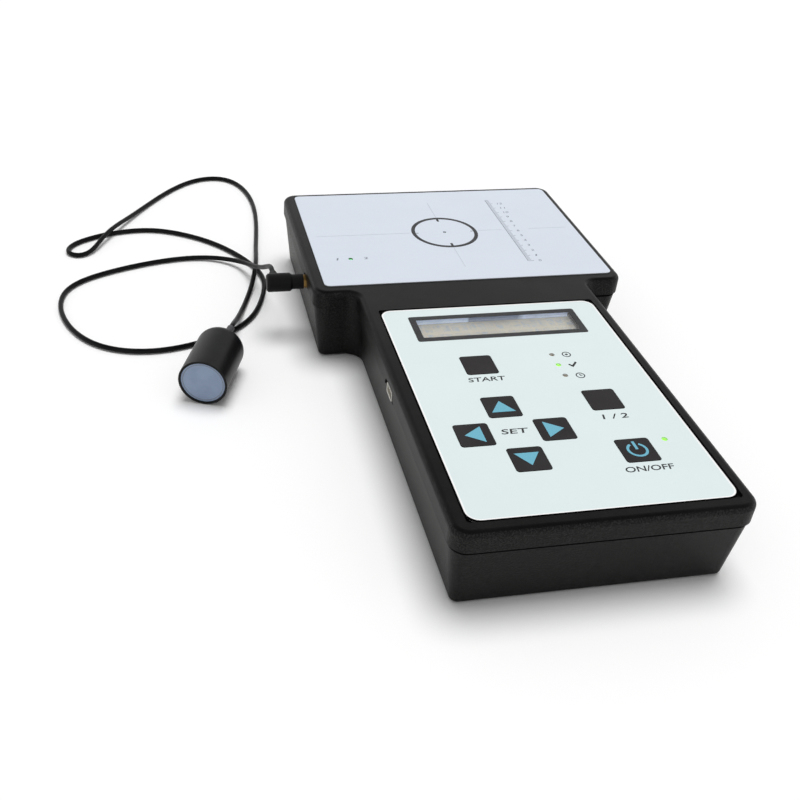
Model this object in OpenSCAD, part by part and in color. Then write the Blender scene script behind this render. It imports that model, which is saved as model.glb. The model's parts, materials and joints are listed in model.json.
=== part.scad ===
// Counter-top coil tester for coins and bars: a T-shaped two-part case with a keypad handle,
// a flat target over the sensing coil in its head, and a small corded probe.
// Origin: middle of the case's footprint on the table. The keypad end points to -Y, the head to +Y.

/* [Case] */
// Overall length of the case, keypad end to back of the head
case_len = 245; // [235:1:300]
// Width of the handle that carries the keypad
handle_w = 100; // [98:1:122]
// Width of the head
head_w = 135; // [133:1:165]
// Length of the head, front wall to back wall
head_len = 99; // [97:1:120]
// Height of the case, table to top face
case_h = 32.5; // [31:0.5:40]
// Height of the joint line between the two shells
parting_h = 24.8; // [24:0.1:26]
// Radius of the outside corners in plan
corner_r = 6; // [5.8:0.1:8]
// Radius of the inside corners where the head meets the handle
notch_r = 4.5; // [3:0.5:7]
// How far the foot of the lower shell is drawn in by its moulding draft
draft_in = 3.3; // [2:0.1:3.4]
// Rounding of the lower shell's bottom edge
foot_round = 1.5; // [1:0.1:1.8]
// Rounding of the upper shell's top edge
top_round = 2.2; // [1:0.1:2.4]
// Wall thickness of both shells
wall = 2.4; // [2:0.1:2.8]
// Thickness of the upper shell's top
top_t = 2.8; // [2.6:0.1:3]
// Thickness of the lower shell's floor
floor_t = 2.4; // [1.8:0.1:3]
// Overhang of the upper shell past the lower one at the joint line
overhang = 0.6; // [0.3:0.1:0.8]
// Thickness of the locating lip inside the joint
lip_t = 1; // [0.8:0.1:1.2]
// Height of the locating lip
lip_h = 2; // [1:0.1:2.5]
// Width and height of the fine groove that shades the joint line
joint_groove = 0.35; // [0.2:0.05:0.5]

/* [Overlays] */
// Width of the keypad overlay
keypad_w = 89.2; // [87:0.1:90]
// Length of the keypad overlay
keypad_len = 124; // [122:0.5:126]
// Corner radius of the keypad overlay
keypad_r = 4.5; // [2:0.1:6]
// Thickness of the keypad overlay
keypad_t = 0.8; // [0.5:0.1:0.9]
// Distance from the case's front end to the overlay
keypad_inset = 5.7; // [5:0.1:7]
// Sideways place of the keypad overlay
keypad_x = 0.5; // [-1:0.1:1]
// Depth of the recess that the keypad overlay lies in
recess_deep = 1; // [0.9:0.1:1.1]
// Gap round the keypad overlay in its recess
recess_gap = 0.55; // [0.3:0.05:0.7]
// Corner radius of the recess, which is sharper than the overlay's
recess_r = 1.2; // [0.8:0.1:4]
// Width of the head overlay
target_w = 126.6; // [110:0.1:128]
// Length of the head overlay
target_len = 89.8; // [80:0.1:91]
// Corner radius of the head overlay
target_r = 2.5; // [1:0.1:5]
// Thickness of the head overlay
target_t = 0.3; // [0.2:0.05:0.5]
// Distance from the case's back end to the head overlay
target_inset = 3.8; // [3:0.1:6]
// Sideways place of the head overlay
target_x = 0.9; // [-1:0.1:1]

/* [Keys] */
// Side of a square key
key_side = 11.9; // [10:0.1:12.4]
// Corner radius of a key
key_r = 1; // [0.5:0.1:2]
// Clearance between a key and its window, each side
key_gap = 0.2; // [0.15:0.05:0.4]
// Height of a key above the overlay
key_proud = 0.15; // [0.1:0.05:0.6]
// Travel of a key
key_travel = 0.5; // [0.3:0.05:0.6]
// Distance from the middle of the arrow group to each arrow key, sideways
arrow_dx = 14.2; // [14:0.1:15]
// Distance from the middle of the arrow group to each arrow key, along the handle
arrow_dy = 14.5; // [14:0.1:15]
// Sideways place of the arrow group from the overlay's middle
arrow_x = -16.2; // [-17:0.1:-16]
// Place of the arrow group along the overlay, from its middle
arrow_y = -21.1; // [-23:0.1:-20]
// Sideways place of the right-hand keys from the overlay's middle
side_key_x = 21.5; // [20:0.1:24]
// Place of the run key along the overlay, from its middle
run_key_y = 19.9; // [18:0.1:22]

/* [Display] */
// Width of the clear display window
window_w = 68.9; // [66:0.1:70]
// Length of the clear display window along the handle
window_l = 18.2; // [17:0.1:19]
// Width of the dark ledge seen round the display through the window
ledge = 2; // [1.5:0.1:2.5]
// Thickness of the clear window
window_t = 1.3; // [1:0.1:1.4]
// Place of the display along the overlay, from its middle
display_y = 47.1; // [45:0.1:48]
// Width of the display module's metal frame
display_w = 71.2; // [71:0.1:74]
// Length of the display module's metal frame along the handle
display_l = 25.2; // [24:0.1:26]

/* [Lamps] */
// Radius of a lamp's clear light guide
lamp_r = 0.9; // [0.6:0.1:1.2]
// Depth of a lamp's end below the overlay's face
lamp_sunk = 0.6; // [0:0.1:0.7]
// Spacing of the three status lamps
lamp_pitch = 7; // [5:0.5:8]
// Sideways place of the status lamps from the overlay's middle
lamp_x = 13.7; // [12:0.1:15]
// Place of the middle status lamp along the overlay, from its middle
lamp_y = 16.7; // [15:0.1:18]

/* [Sockets and probe] */
// Place of the charging socket along the case, from its front end
usb_at = 85; // [75:0.5:95]
// Place of the probe socket behind the head's front wall
jack_at = 25; // [22:0.5:35]
// Diameter of the probe plug's grip
plug_d = 8; // [7:0.1:9]
// Length of the probe plug outside the case
plug_len = 15.7; // [14:0.1:16]
// Length of the boot where the cable leaves the plug's side
boot_len = 4.5; // [4:0.1:6]
// Diameter of the probe
probe_d = 19.8; // [16:0.1:24]
// Length of the probe's body
probe_len = 29.8; // [24:0.1:34]
// Length of the strain relief behind the probe
relief_len = 13; // [7:0.5:15]
// Diameter of the probe cable
cable_d = 2.2; // [1.8:0.1:2.4]

/* [Hidden] */

$fn = 48;
eps = 0.01;
cut = 1;

// Plan of the case
half_len = case_len / 2;
half_handle = handle_w / 2;
half_head = head_w / 2;
head_y = half_len - head_len;
rim_depth = corner_r;
foot_in = draft_in + foot_round;
plate_in = (foot_in + rim_depth) / 2;
draft_slope = (draft_in - overhang) / (parting_h - foot_round);
lip_gap = 0.1;
lip_out = overhang + wall + draft_slope * lip_h + lip_gap;
lip_in = lip_out + lip_t;

// Heights
top_under = case_h - top_t;
recess_z = case_h - recess_deep;
keypad_top = recess_z + keypad_t;
head_top = case_h + target_t;

// Overlay places
keypad_y = -half_len + keypad_inset + keypad_len / 2;
target_y = half_len - target_inset - target_len / 2;
target_mid = [target_x, target_y];

// Corners of the case outline, counterclockwise: x, y, heading of travel on arrival, outside corner
CORNERS = [
    [-half_handle, -half_len, 270, true],
    [half_handle, -half_len, 0, true],
    [half_handle, head_y, 90, false],
    [half_head, head_y, 0, true],
    [half_head, half_len, 90, true],
    [-half_head, half_len, 180, true],
    [-half_head, head_y, 270, true],
    [-half_handle, head_y, 0, false]
];
function bend_r(corner) = corner[3] ? corner_r : notch_r;

// Screws that close the case from below
screw_in = 9.5;
post_h = 14;
post_r = 4.2;
boss_r = 3.5;
case_shank_r = 1.5;
case_head_r = 2.8;
case_head_h = 2.2;
screw_gap = 0.05;
well_r = 3.2;
well_deep = 8;
case_screw_len = 12;
CASE_SCREWS = [
    for (sx = [-1, 1]) [sx * (half_handle - screw_in), -half_len + screw_in],
    for (sx = [-1, 1], y = [head_y + screw_in, half_len - screw_in]) [sx * (half_head - screw_in), y]
];

// Circuit boards
board_t = 1.6;
board_edge = 5;
board_drop = 2;
board_top = parting_h - board_drop;
board_under = board_top - board_t;
board_len = 124;
board_w = handle_w - 2 * board_edge;
board_inset = 16.5;
board_front = -half_len + board_inset;
board_y = board_front + board_len / 2;
sensor_edge = 6.5;
sensor_len = 66;
sensor_w = head_w - 2 * sensor_edge;
jack_h = 9;
sensor_top = parting_h - jack_h / 2;
sensor_under = sensor_top - board_t;
sensor_y = target_y;
standoff_r = 3;
board_shank_r = 1.25;
board_head_r = 2.4;
board_head_h = 1.6;
board_screw_len = 6;
board_hole_r = 1.6;
board_screw_x = board_w / 2 - 5;
board_screw_ends = [board_front + 5.5, board_front + board_len - 4];
sensor_screw_x = sensor_w / 2 - 16;
sensor_screw_dy = sensor_len / 2 - 5;
BOARD_SCREWS = [for (sx = [-1, 1], y = board_screw_ends) [sx * board_screw_x, y]];
SENSOR_SCREWS = [for (sx = [-1, 1], sy = [-1, 1]) [sx * sensor_screw_x, sensor_y + sy * sensor_screw_dy]];

// Keys, their switches and lamps
arrow_mid = [keypad_x + arrow_x, keypad_y + arrow_y];
KEYS = [
    [arrow_mid.x, keypad_y + run_key_y],
    [arrow_mid.x, arrow_mid.y + arrow_dy],
    [arrow_mid.x - arrow_dx, arrow_mid.y],
    [arrow_mid.x + arrow_dx, arrow_mid.y],
    [arrow_mid.x, arrow_mid.y - arrow_dy],
    [keypad_x + side_key_x, arrow_mid.y + arrow_dy],
    [keypad_x + side_key_x, arrow_mid.y - arrow_dy]
];
key_top = keypad_top + key_proud;
flange_gap = 0.3;
flange_t = 1;
flange_out = 0.75;
flange_top = top_under - flange_gap;
switch_side = 6.2;
switch_h = 3.5;
plunger_r = 1.75;
plunger_h = 1;
plunger_sunk = 1;
plunger_gap = 0.15;
plunger_top = board_top + switch_h + plunger_h;
stem_r = 2.6;
power_lamp_dx = 33.4;
power_lamp_dy = -31;
head_lamp_dx = -48.1;
head_lamp_dy = -21.9;
LAMPS = [
    [keypad_x + lamp_x, keypad_y + lamp_y + lamp_pitch],
    [keypad_x + lamp_x, keypad_y + lamp_y],
    [keypad_x + lamp_x, keypad_y + lamp_y - lamp_pitch],
    [keypad_x + power_lamp_dx, keypad_y + power_lamp_dy]
];
HEAD_LAMP = [target_x + head_lamp_dx, target_y + head_lamp_dy];
lamp_gap = 0.15;
collar_r = 1.6 * lamp_r;
chip_h = 0.8;

// Display stack, from the clear window down to the board
display_mid = [keypad_x, keypad_y + display_y];
display_board_w = 80;
display_board_l = 36;
frame_h = 4.2;
frame_under = top_under - frame_h;
display_under = frame_under - board_t;
header_h = display_under - board_top;
frame_wall = 0.8;
frame_top_t = 0.6;
backlight_t = 1.4;
glass_gap = 0.2;
window_gap = 0.2;
window_z = keypad_top - window_t;
sight_narrower = 0.3;
sight_longer = 0.5;
sight_w = window_w - 2 * ledge - sight_narrower;
sight_l = window_l - 2 * ledge + sight_longer;

// Charging socket on the main board's left edge
usb_w = 7.7;
usb_h = 4;
usb_deep = 9.2;
usb_shell_t = 0.4;
usb_shell_r = 0.8;
usb_back_t = 1.5;
usb_tongue_len = 6;
usb_tongue_w = 4.6;
usb_tongue_t = 1.3;
usb_y = -half_len + usb_at;
usb_sunk = 0.3;
usb_mouth = -half_handle + usb_sunk;
usb_slot_w = 11.5;
usb_slot_h = 6;
usb_slot_r = 2;

// Probe socket and plug on the head's left wall
jack_y = head_y + jack_at;
jack_hole_r = 3.8;
bushing_r = 2.9;
bushing_out = 1;
bushing_end = -half_head - bushing_out;
jack_wall_gap = 0.2;
jack_face = -half_head + lip_in + jack_wall_gap;
jack_reach = 17.5;
jack_end = -half_head + jack_reach;
jack_deep = jack_end - jack_face;
jack_back_t = 2;
jack_w = 12;
pin_r = 1.75;
pin_gap = 0.05;
neck_d = 6.4;
neck_len = 4.8;
grip_cone = 1;
grip_round = 0.7;
plug_end = bushing_end - plug_len;
boot_in = 3.7;
boot_r = 2.4;
boot_tip_r = 1.6;
boot_tip = plug_d / 2 + boot_len;
plug_exit = [plug_end + boot_in, jack_y + boot_tip];

// Sensing coil under the target
coil_r = 20;
coil_core_r = 10;
spool_r = 14.5;
spool_flange_t = 1.2;
coil_gap = 0.2;
coil_h = top_under - coil_gap - sensor_top;
winding_in = 1;
winding_gap = 0.1;
core_gap = 0.3;
core_low = 1;

// Probe, lying on the table with its face towards the keypad end
probe_face_at = [-115.4, -2.4];
probe_turn = -20.1;
probe_r = probe_d / 2;
probe_wall = 1.2;
probe_back_round = 4.5;
face_rim = 0.95;
face_deep = 0.35;
face_t = 1;
face_gap = 0.05;
seat_ledge = 0.4;
probe_back_t = 1.5 * probe_wall;
relief_r = 2.2;
relief_tip_r = 1.5;
relief_flange_r = 3.2;
relief_flange_t = 1.2;
relief_straight = 1;
probe_dir = [-sin(probe_turn), cos(probe_turn)];
relief_end = probe_face_at + (probe_len + relief_len) * probe_dir;

// Route of the probe cable's middle line, from the plug's boot to the probe's strain relief
cable_r = cable_d / 2;
exit_run = 3.5;
ROUTE = [
    [plug_exit.x, plug_exit.y, parting_h],
    [plug_exit.x, plug_exit.y + exit_run, parting_h],
    [plug_exit.x, plug_exit.y + 9.5, parting_h - 1.1],
    [plug_exit.x - 1, plug_exit.y + 21, parting_h - 8.1],
    [-84, 93.5, 8.8],
    [-88.5, 111.5, 2.8],
    [-104.5, 122, cable_r],
    [-127.5, 120, cable_r],
    [-158, 108.5, cable_r],
    [-175, 94.5, cable_r],
    [-174, 68.5, cable_r],
    [-160.5, 43, cable_r],
    [-136, 34.5, cable_r],
    [-111, 41.5, cable_r],
    [-90, 55, cable_r],
    [-81.5, 80, cable_r],
    [-78, 101, cable_r],
    [-92.5, 127.5, cable_r],
    [-108, 143.5, cable_r],
    [-130, 156, cable_r],
    [-150.5, 153, cable_r],
    [-163, 147, cable_r],
    [-171, 141, cable_r],
    [-174, 133, cable_r],
    [-168.5, 127.5, cable_r],
    [-161.5, 130.5, cable_r],
    [-156, 143, 3.4],
    [-150, 154.5, 3.9],
    [-140.5, 173, cable_r],
    [-124, 200, cable_r],
    [-105, 220.5, cable_r],
    [-83.5, 220, cable_r],
    [-74.5, 189.5, cable_r],
    [-76.5, 155, cable_r],
    [-80.5, 126.5, 1.4],
    [-82, 106.5, 5.8],
    [-86.5, 87, cable_r],
    [-95, 61.5, cable_r],
    [relief_end.x + exit_run * probe_dir.x, relief_end.y + exit_run * probe_dir.y, probe_r],
    [relief_end.x, relief_end.y, probe_r]
];
cable_sides = 8;

// ---- Shared shapes ----

// A rectangle with round corners, centred
module rounded_rect(w, l, r) {
    square([w - 2 * r, l], center = true);
    square([w, l - 2 * r], center = true);
    for (sx = [-1, 1], sy = [-1, 1]) {
        translate([sx * (w / 2 - r), sy * (l / 2 - r)]) circle(r = r);
    }
}

// Places a child at each point of a list
module at_each(points) {
    for (p = points) translate(p) children();
}

// Sweeps a wall profile round the T-shaped outline. In the profile, x runs outwards from the
// outline, so the wall lies at x <= 0, and y is the height.
module swept_rim() {
    count = len(CORNERS);
    for (i = [0 : count - 1]) {
        here = CORNERS[i];
        next = CORNERS[(i + 1) % count];
        r_here = bend_r(here);
        heading = next[2];
        run = norm([next[0] - here[0], next[1] - here[1]]) - r_here - bend_r(next);
        translate([here[0], here[1], 0])
            rotate([0, 0, heading])
                translate([r_here + run, 0, 0])
                    rotate([90, 0, -90])
                        linear_extrude(run) children();
        arrival = here[2];
        side = here[3] ? 1 : -1;
        translate([here[0], here[1], 0])
            rotate([0, 0, arrival])
                translate([-r_here, side * r_here, 0])
                    rotate([0, 0, here[3] ? -90 : 0])
                        rotate_extrude(angle = 90)
                            if (here[3]) translate([r_here, 0]) children();
                            else translate([r_here, 0]) mirror([1, 0]) children();
    }
}

// The flat of the case's plan inside its rim, which it overlaps all round
module inner_plan() {
    translate([plate_in - half_head, head_y + plate_in])
        square([head_w - 2 * plate_in, head_len - 2 * plate_in]);
    translate([plate_in - half_handle, plate_in - half_len])
        square([handle_w - 2 * plate_in, case_len - head_len]);
    for (sx = [-1, 1]) {
        difference() {
            translate([sx > 0 ? half_handle - 2 * plate_in : -half_handle - notch_r, head_y - notch_r])
                square([notch_r + 2 * plate_in, notch_r + 2 * plate_in]);
            translate([sx * (half_handle + notch_r), head_y - notch_r]) circle(r = notch_r + plate_in);
        }
    }
}

// ---- Case ----

module upper_profile() {
    difference() {
        translate([-rim_depth, parting_h]) square([rim_depth, case_h - parting_h]);
        translate([-rim_depth - cut, parting_h - cut])
            square([rim_depth + cut - wall, top_under - parting_h + cut]);
        difference() {
            translate([-top_round, case_h - top_round]) square(top_round + cut);
            translate([-top_round, case_h - top_round]) circle(r = top_round);
        }
    }
    translate([-lip_in, parting_h - lip_h]) square([lip_t, lip_h + lip_t]);
    translate([-lip_out - eps, parting_h]) square([lip_out + eps - wall + eps, lip_t]);
}

module lower_profile() {
    foot_mid = -draft_in - foot_round;
    groove_z = parting_h - joint_groove;
    groove_x = -overhang - draft_slope * joint_groove;
    difference() {
        union() {
            polygon([
                [-rim_depth, foot_round],
                [-draft_in, foot_round],
                [groove_x, groove_z],
                [groove_x - joint_groove, groove_z],
                [groove_x - joint_groove, parting_h],
                [-rim_depth, parting_h]
            ]);
            translate([-rim_depth, 0]) square([rim_depth + foot_mid, foot_round + eps]);
            intersection() {
                translate([foot_mid, foot_round]) circle(r = foot_round);
                translate([foot_mid, 0]) square(foot_round + eps);
            }
        }
        polygon([
            [-rim_depth - cut, floor_t],
            [-draft_in - wall, floor_t],
            [-overhang - wall, parting_h],
            [-overhang - wall, parting_h + cut],
            [-rim_depth - cut, parting_h + cut]
        ]);
    }
}

// Slot in the left wall of the handle for the charging socket
module usb_slot() {
    translate([-half_handle - cut, usb_y, parting_h])
        rotate([90, 0, 90])
            linear_extrude(rim_depth + cut) rounded_rect(usb_slot_w, usb_slot_h, usb_slot_r);
}

// Hole in the left wall of the head for the probe socket
module jack_hole() {
    translate([-half_head - cut, jack_y, parting_h])
        rotate([0, 90, 0])
            cylinder(r = jack_hole_r, h = rim_depth + cut);
}

module upper_case() {
    color([0.11, 0.11, 0.12])
    difference() {
        union() {
            swept_rim() upper_profile();
            translate([0, 0, top_under]) linear_extrude(top_t) inner_plan();
            at_each(CASE_SCREWS)
                translate([0, 0, post_h]) cylinder(r = boss_r, h = top_under - post_h + eps);
        }
        translate([keypad_x, keypad_y, recess_z])
            linear_extrude(recess_deep + cut)
                rounded_rect(keypad_w + 2 * recess_gap, keypad_len + 2 * recess_gap, recess_r);
        translate([display_mid.x, display_mid.y, window_z])
            linear_extrude(recess_deep + cut)
                rounded_rect(window_w + window_gap, window_l + window_gap, key_r);
        translate([display_mid.x, display_mid.y, top_under - cut])
            linear_extrude(top_t) square([sight_w, sight_l], center = true);
        at_each(KEYS)
            translate([0, 0, top_under - cut])
                linear_extrude(top_t)
                    rounded_rect(key_side + 2 * key_gap, key_side + 2 * key_gap, key_r + key_gap);
        at_each(LAMPS) translate([0, 0, top_under - cut]) cylinder(r = lamp_r + lamp_gap, h = top_t);
        translate([HEAD_LAMP.x, HEAD_LAMP.y, top_under - cut])
            cylinder(r = lamp_r + lamp_gap, h = top_t + 2 * cut);
        at_each(CASE_SCREWS)
            translate([0, 0, post_h - cut])
                cylinder(r = case_shank_r + screw_gap, h = well_deep + case_screw_len - post_h + 2 * cut);
        usb_slot();
        jack_hole();
    }
}

module lower_case() {
    color([0.12, 0.12, 0.13])
    difference() {
        union() {
            swept_rim() lower_profile();
            linear_extrude(floor_t) inner_plan();
            at_each(CASE_SCREWS) translate([0, 0, eps]) cylinder(r = post_r, h = post_h - eps);
            at_each(BOARD_SCREWS) translate([0, 0, eps]) cylinder(r = standoff_r, h = board_under - eps);
            at_each(SENSOR_SCREWS) translate([0, 0, eps]) cylinder(r = standoff_r, h = sensor_under - eps);
        }
        at_each(CASE_SCREWS) {
            translate([0, 0, -cut]) cylinder(r = well_r, h = well_deep + cut);
            cylinder(r = case_shank_r + screw_gap, h = post_h + cut);
        }
        at_each(BOARD_SCREWS)
            translate([0, 0, board_top - board_screw_len - cut])
                cylinder(r = board_shank_r + screw_gap, h = board_screw_len + cut);
        at_each(SENSOR_SCREWS)
            translate([0, 0, sensor_top - board_screw_len - cut])
                cylinder(r = board_shank_r + screw_gap, h = board_screw_len + cut);
        usb_slot();
        jack_hole();
    }
}

// Pan-head screw that stands head down, with the underside of its head at z = 0
module screw(shank_r, shank_len, head_r, head_h) {
    cylinder(r = shank_r, h = shank_len);
    translate([0, 0, -head_h]) cylinder(r = head_r, h = head_h);
}

module case_screws() {
    color([0.62, 0.62, 0.64])
        at_each(CASE_SCREWS)
            translate([0, 0, well_deep])
                screw(case_shank_r, case_screw_len, case_head_r, case_head_h);
}

// ---- Overlays ----

module keypad_overlay() {
    color([0.88, 0.93, 0.93])
        translate([0, 0, recess_z])
            linear_extrude(keypad_t)
                difference() {
                    translate([keypad_x, keypad_y]) rounded_rect(keypad_w, keypad_len, keypad_r);
                    translate(display_mid) rounded_rect(window_w + window_gap, window_l + window_gap, key_r);
                    at_each(KEYS)
                        rounded_rect(key_side + 2 * key_gap, key_side + 2 * key_gap, key_r + key_gap);
                    at_each(LAMPS) circle(r = lamp_r + lamp_gap);
                }
}

module head_overlay() {
    color([0.85, 0.88, 0.92])
        translate([0, 0, case_h])
            linear_extrude(target_t)
                difference() {
                    translate(target_mid) rounded_rect(target_w, target_len, target_r);
                    translate(HEAD_LAMP) circle(r = lamp_r + lamp_gap);
                }
}

// ---- Display ----

module display_window() {
    color([0.75, 0.85, 0.9, 0.5])
        translate([display_mid.x, display_mid.y, window_z])
            linear_extrude(window_t) rounded_rect(window_w, window_l, key_r);
}

module display_frame() {
    color([0.15, 0.15, 0.16])
        translate([display_mid.x, display_mid.y, frame_under])
            difference() {
                linear_extrude(frame_h) rounded_rect(display_w, display_l, frame_wall);
                translate([0, 0, -cut])
                    linear_extrude(frame_h - frame_top_t + cut)
                        square([display_w - 2 * frame_wall, display_l - 2 * frame_wall], center = true);
                linear_extrude(frame_h + cut) square([sight_w, sight_l], center = true);
            }
}

// A flat layer inside the display's metal frame
module display_layer(z, t) {
    inset = 2 * (frame_wall + glass_gap);
    translate([display_mid.x, display_mid.y, z])
        linear_extrude(t) square([display_w - inset, display_l - inset], center = true);
}

module display_glass() {
    glass_z = frame_under + backlight_t;
    color([0.62, 0.66, 0.6]) display_layer(glass_z, top_under - frame_top_t - glass_z);
}

module display_backlight() {
    color([0.9, 0.92, 0.86]) display_layer(frame_under, backlight_t);
}

module display_board() {
    color([0.1, 0.35, 0.2])
        translate([display_mid.x, display_mid.y, display_under])
            linear_extrude(board_t) square([display_board_w, display_board_l], center = true);
}

module display_header() {
    header_l = 2.5;
    color([0.08, 0.08, 0.08])
        translate([display_mid.x, display_mid.y + display_board_l / 2 - 2 * header_l, board_top])
            linear_extrude(header_h) square([display_board_w / 2, header_l], center = true);
}

// ---- Keys, switches and lamps ----

module key(place) {
    flange_side = key_side + 2 * flange_out;
    color([0.22, 0.21, 0.22])
        translate(place) {
            translate([0, 0, flange_top - eps])
                linear_extrude(key_top - flange_top + eps) rounded_rect(key_side, key_side, key_r);
            translate([0, 0, flange_top - flange_t])
                linear_extrude(flange_t) rounded_rect(flange_side, flange_side, key_r);
            translate([0, 0, plunger_top])
                cylinder(r = stem_r, h = flange_top - flange_t - plunger_top + eps);
        }
}

module plunger(place) {
    color([0.75, 0.72, 0.62])
        translate([place.x, place.y, plunger_top - plunger_h - plunger_sunk])
            cylinder(r = plunger_r, h = plunger_h + plunger_sunk);
}

module switch_bodies() {
    well = plunger_sunk + key_travel + plunger_gap;
    color([0.1, 0.1, 0.11])
        at_each(KEYS)
            translate([0, 0, board_top])
                difference() {
                    linear_extrude(switch_h) square(switch_side, center = true);
                    translate([0, 0, switch_h - well])
                        cylinder(r = plunger_r + plunger_gap, h = well + cut);
                }
}

// A lamp's light guide, from above its chip on a board to just under the overlay's face
module lamp(place, base_z, face_z) {
    collar_top = top_under - flange_gap;
    color([0.8, 0.9, 0.75])
        translate(place) {
            translate([0, 0, base_z]) cylinder(r = lamp_r, h = face_z - base_z);
            translate([0, 0, collar_top - flange_t]) cylinder(r = collar_r, h = flange_t);
        }
}

module lamp_chips() {
    color([0.85, 0.85, 0.8]) {
        at_each(LAMPS)
            translate([0, 0, board_top]) linear_extrude(chip_h) square(2 * lamp_r, center = true);
        translate([HEAD_LAMP.x, HEAD_LAMP.y, sensor_top])
            linear_extrude(chip_h) square(2 * lamp_r, center = true);
    }
}

// ---- Boards ----

module main_board() {
    color([0.08, 0.33, 0.18])
        difference() {
            translate([0, board_y, board_under])
                linear_extrude(board_t) square([board_w, board_len], center = true);
            at_each(BOARD_SCREWS)
                translate([0, 0, board_under - cut]) cylinder(r = board_hole_r, h = board_t + 2 * cut);
        }
}

module sensor_board() {
    color([0.08, 0.33, 0.18])
        difference() {
            translate([0, sensor_y, sensor_under])
                linear_extrude(board_t) square([sensor_w, sensor_len], center = true);
            at_each(SENSOR_SCREWS)
                translate([0, 0, sensor_under - cut]) cylinder(r = board_hole_r, h = board_t + 2 * cut);
        }
}

// A row of chips: place from the board's middle, then width, length and height
module board_chips() {
    main_chips = [[30, 0, 12, 12, 1.6], [-32, 4, 8, 10, 1.6], [12, -34, 12, 7, 1.4], [32, -20, 6, 5, 2]];
    head_chips = [[38, 16, 10, 10, 1.4], [38, -8, 7, 7, 1.2], [-34, 14, 6, 8, 1.8]];
    color([0.06, 0.06, 0.07]) {
        for (c = main_chips)
            translate([c[0], board_y + c[1], board_top])
                linear_extrude(c[4]) square([c[2], c[3]], center = true);
        for (c = head_chips)
            translate([c[0], sensor_y + c[1], sensor_top])
                linear_extrude(c[4]) square([c[2], c[3]], center = true);
    }
}

module board_screws() {
    color([0.7, 0.7, 0.72]) {
        at_each(BOARD_SCREWS)
            translate([0, 0, board_top])
                mirror([0, 0, 1]) screw(board_shank_r, board_screw_len, board_head_r, board_head_h);
        at_each(SENSOR_SCREWS)
            translate([0, 0, sensor_top])
                mirror([0, 0, 1]) screw(board_shank_r, board_screw_len, board_head_r, board_head_h);
    }
}

// ---- Battery ----

cell_r = 7.1;
cell_len = 50;
cell_count = 4;
cell_gap = 0.3;
tray_wall = 1.5;
tray_h = 9;
tray_back = 22;
tray_y = board_y - tray_back;
cell_pitch = 2 * cell_r + cell_gap;

module battery_tray() {
    tray_w = cell_count * cell_pitch + cell_gap;
    tray_l = cell_len + 2 * cell_gap;
    color([0.14, 0.14, 0.15])
        translate([0, tray_y, floor_t])
            difference() {
                linear_extrude(tray_h)
                    square([tray_w + 2 * tray_wall, tray_l + 2 * tray_wall], center = true);
                translate([0, 0, tray_wall]) linear_extrude(tray_h) square([tray_w, tray_l], center = true);
            }
}

module battery_cells() {
    cell_z = floor_t + tray_wall + cell_gap + cell_r;
    color([0.2, 0.45, 0.3])
        for (i = [0 : cell_count - 1])
            translate([(i - (cell_count - 1) / 2) * cell_pitch, tray_y + cell_len / 2, cell_z])
                rotate([90, 0, 0]) cylinder(r = cell_r, h = cell_len);
}

// ---- Charging socket ----

module usb_socket() {
    color([0.75, 0.75, 0.77])
        translate([usb_mouth, usb_y, board_top + usb_h / 2])
            rotate([90, 0, 90])
                difference() {
                    linear_extrude(usb_deep) rounded_rect(usb_w, usb_h, usb_shell_r);
                    translate([0, 0, -cut])
                        linear_extrude(usb_deep - usb_back_t + cut)
                            rounded_rect(
                                usb_w - 2 * usb_shell_t,
                                usb_h - 2 * usb_shell_t,
                                usb_shell_r - usb_shell_t
                            );
                }
}

module usb_tongue() {
    color([0.08, 0.08, 0.08])
        translate([usb_mouth + usb_deep - usb_back_t - usb_tongue_len, usb_y, board_top + usb_h / 2])
            rotate([90, 0, 90])
                linear_extrude(usb_tongue_len) square([usb_tongue_w, usb_tongue_t], center = true);
}

// ---- Sensing coil ----

module coil_former() {
    color([0.85, 0.83, 0.76])
        translate([target_mid.x, target_mid.y, sensor_top])
            difference() {
                union() {
                    cylinder(r = coil_r, h = spool_flange_t);
                    cylinder(r = spool_r, h = coil_h);
                    translate([0, 0, coil_h - spool_flange_t]) cylinder(r = coil_r, h = spool_flange_t);
                }
                translate([0, 0, -cut]) cylinder(r = coil_core_r, h = coil_h + 2 * cut);
            }
}

module coil_winding() {
    color([0.7, 0.38, 0.18])
        translate([target_mid.x, target_mid.y, sensor_top + spool_flange_t])
            difference() {
                cylinder(r = coil_r - winding_in, h = coil_h - 2 * spool_flange_t);
                translate([0, 0, -cut]) cylinder(r = spool_r + winding_gap, h = coil_h + 2 * cut);
            }
}

module coil_core() {
    color([0.2, 0.2, 0.21])
        translate([target_mid.x, target_mid.y, sensor_top])
            cylinder(r = coil_core_r - core_gap, h = coil_h - core_low);
}

module ribbon_cable() {
    ribbon_t = 0.8;
    ribbon_w = 20;
    ribbon_x = 18;
    main_lap = 6;
    main_run = 2;
    head_run = 3;
    head_lap = 5;
    start_y = board_front + board_len;
    end_y = sensor_y - sensor_len / 2;
    color([0.6, 0.62, 0.65])
        translate([ribbon_x - ribbon_w / 2, 0, 0])
            rotate([90, 0, 90])
                linear_extrude(ribbon_w)
                    polygon([
                        [start_y - main_lap, board_top],
                        [start_y + main_run, board_top],
                        [end_y - head_run, sensor_top],
                        [end_y + head_lap, sensor_top],
                        [end_y + head_lap, sensor_top + ribbon_t],
                        [end_y - head_run, sensor_top + ribbon_t],
                        [start_y + main_run, board_top + ribbon_t],
                        [start_y - main_lap, board_top + ribbon_t]
                    ]);
}

// ---- Probe socket and plug ----

// Points a child's +Z along +X from a place on the probe socket's axis
module on_jack_axis(x) {
    translate([x, jack_y, parting_h]) rotate([0, 90, 0]) children();
}

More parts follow.
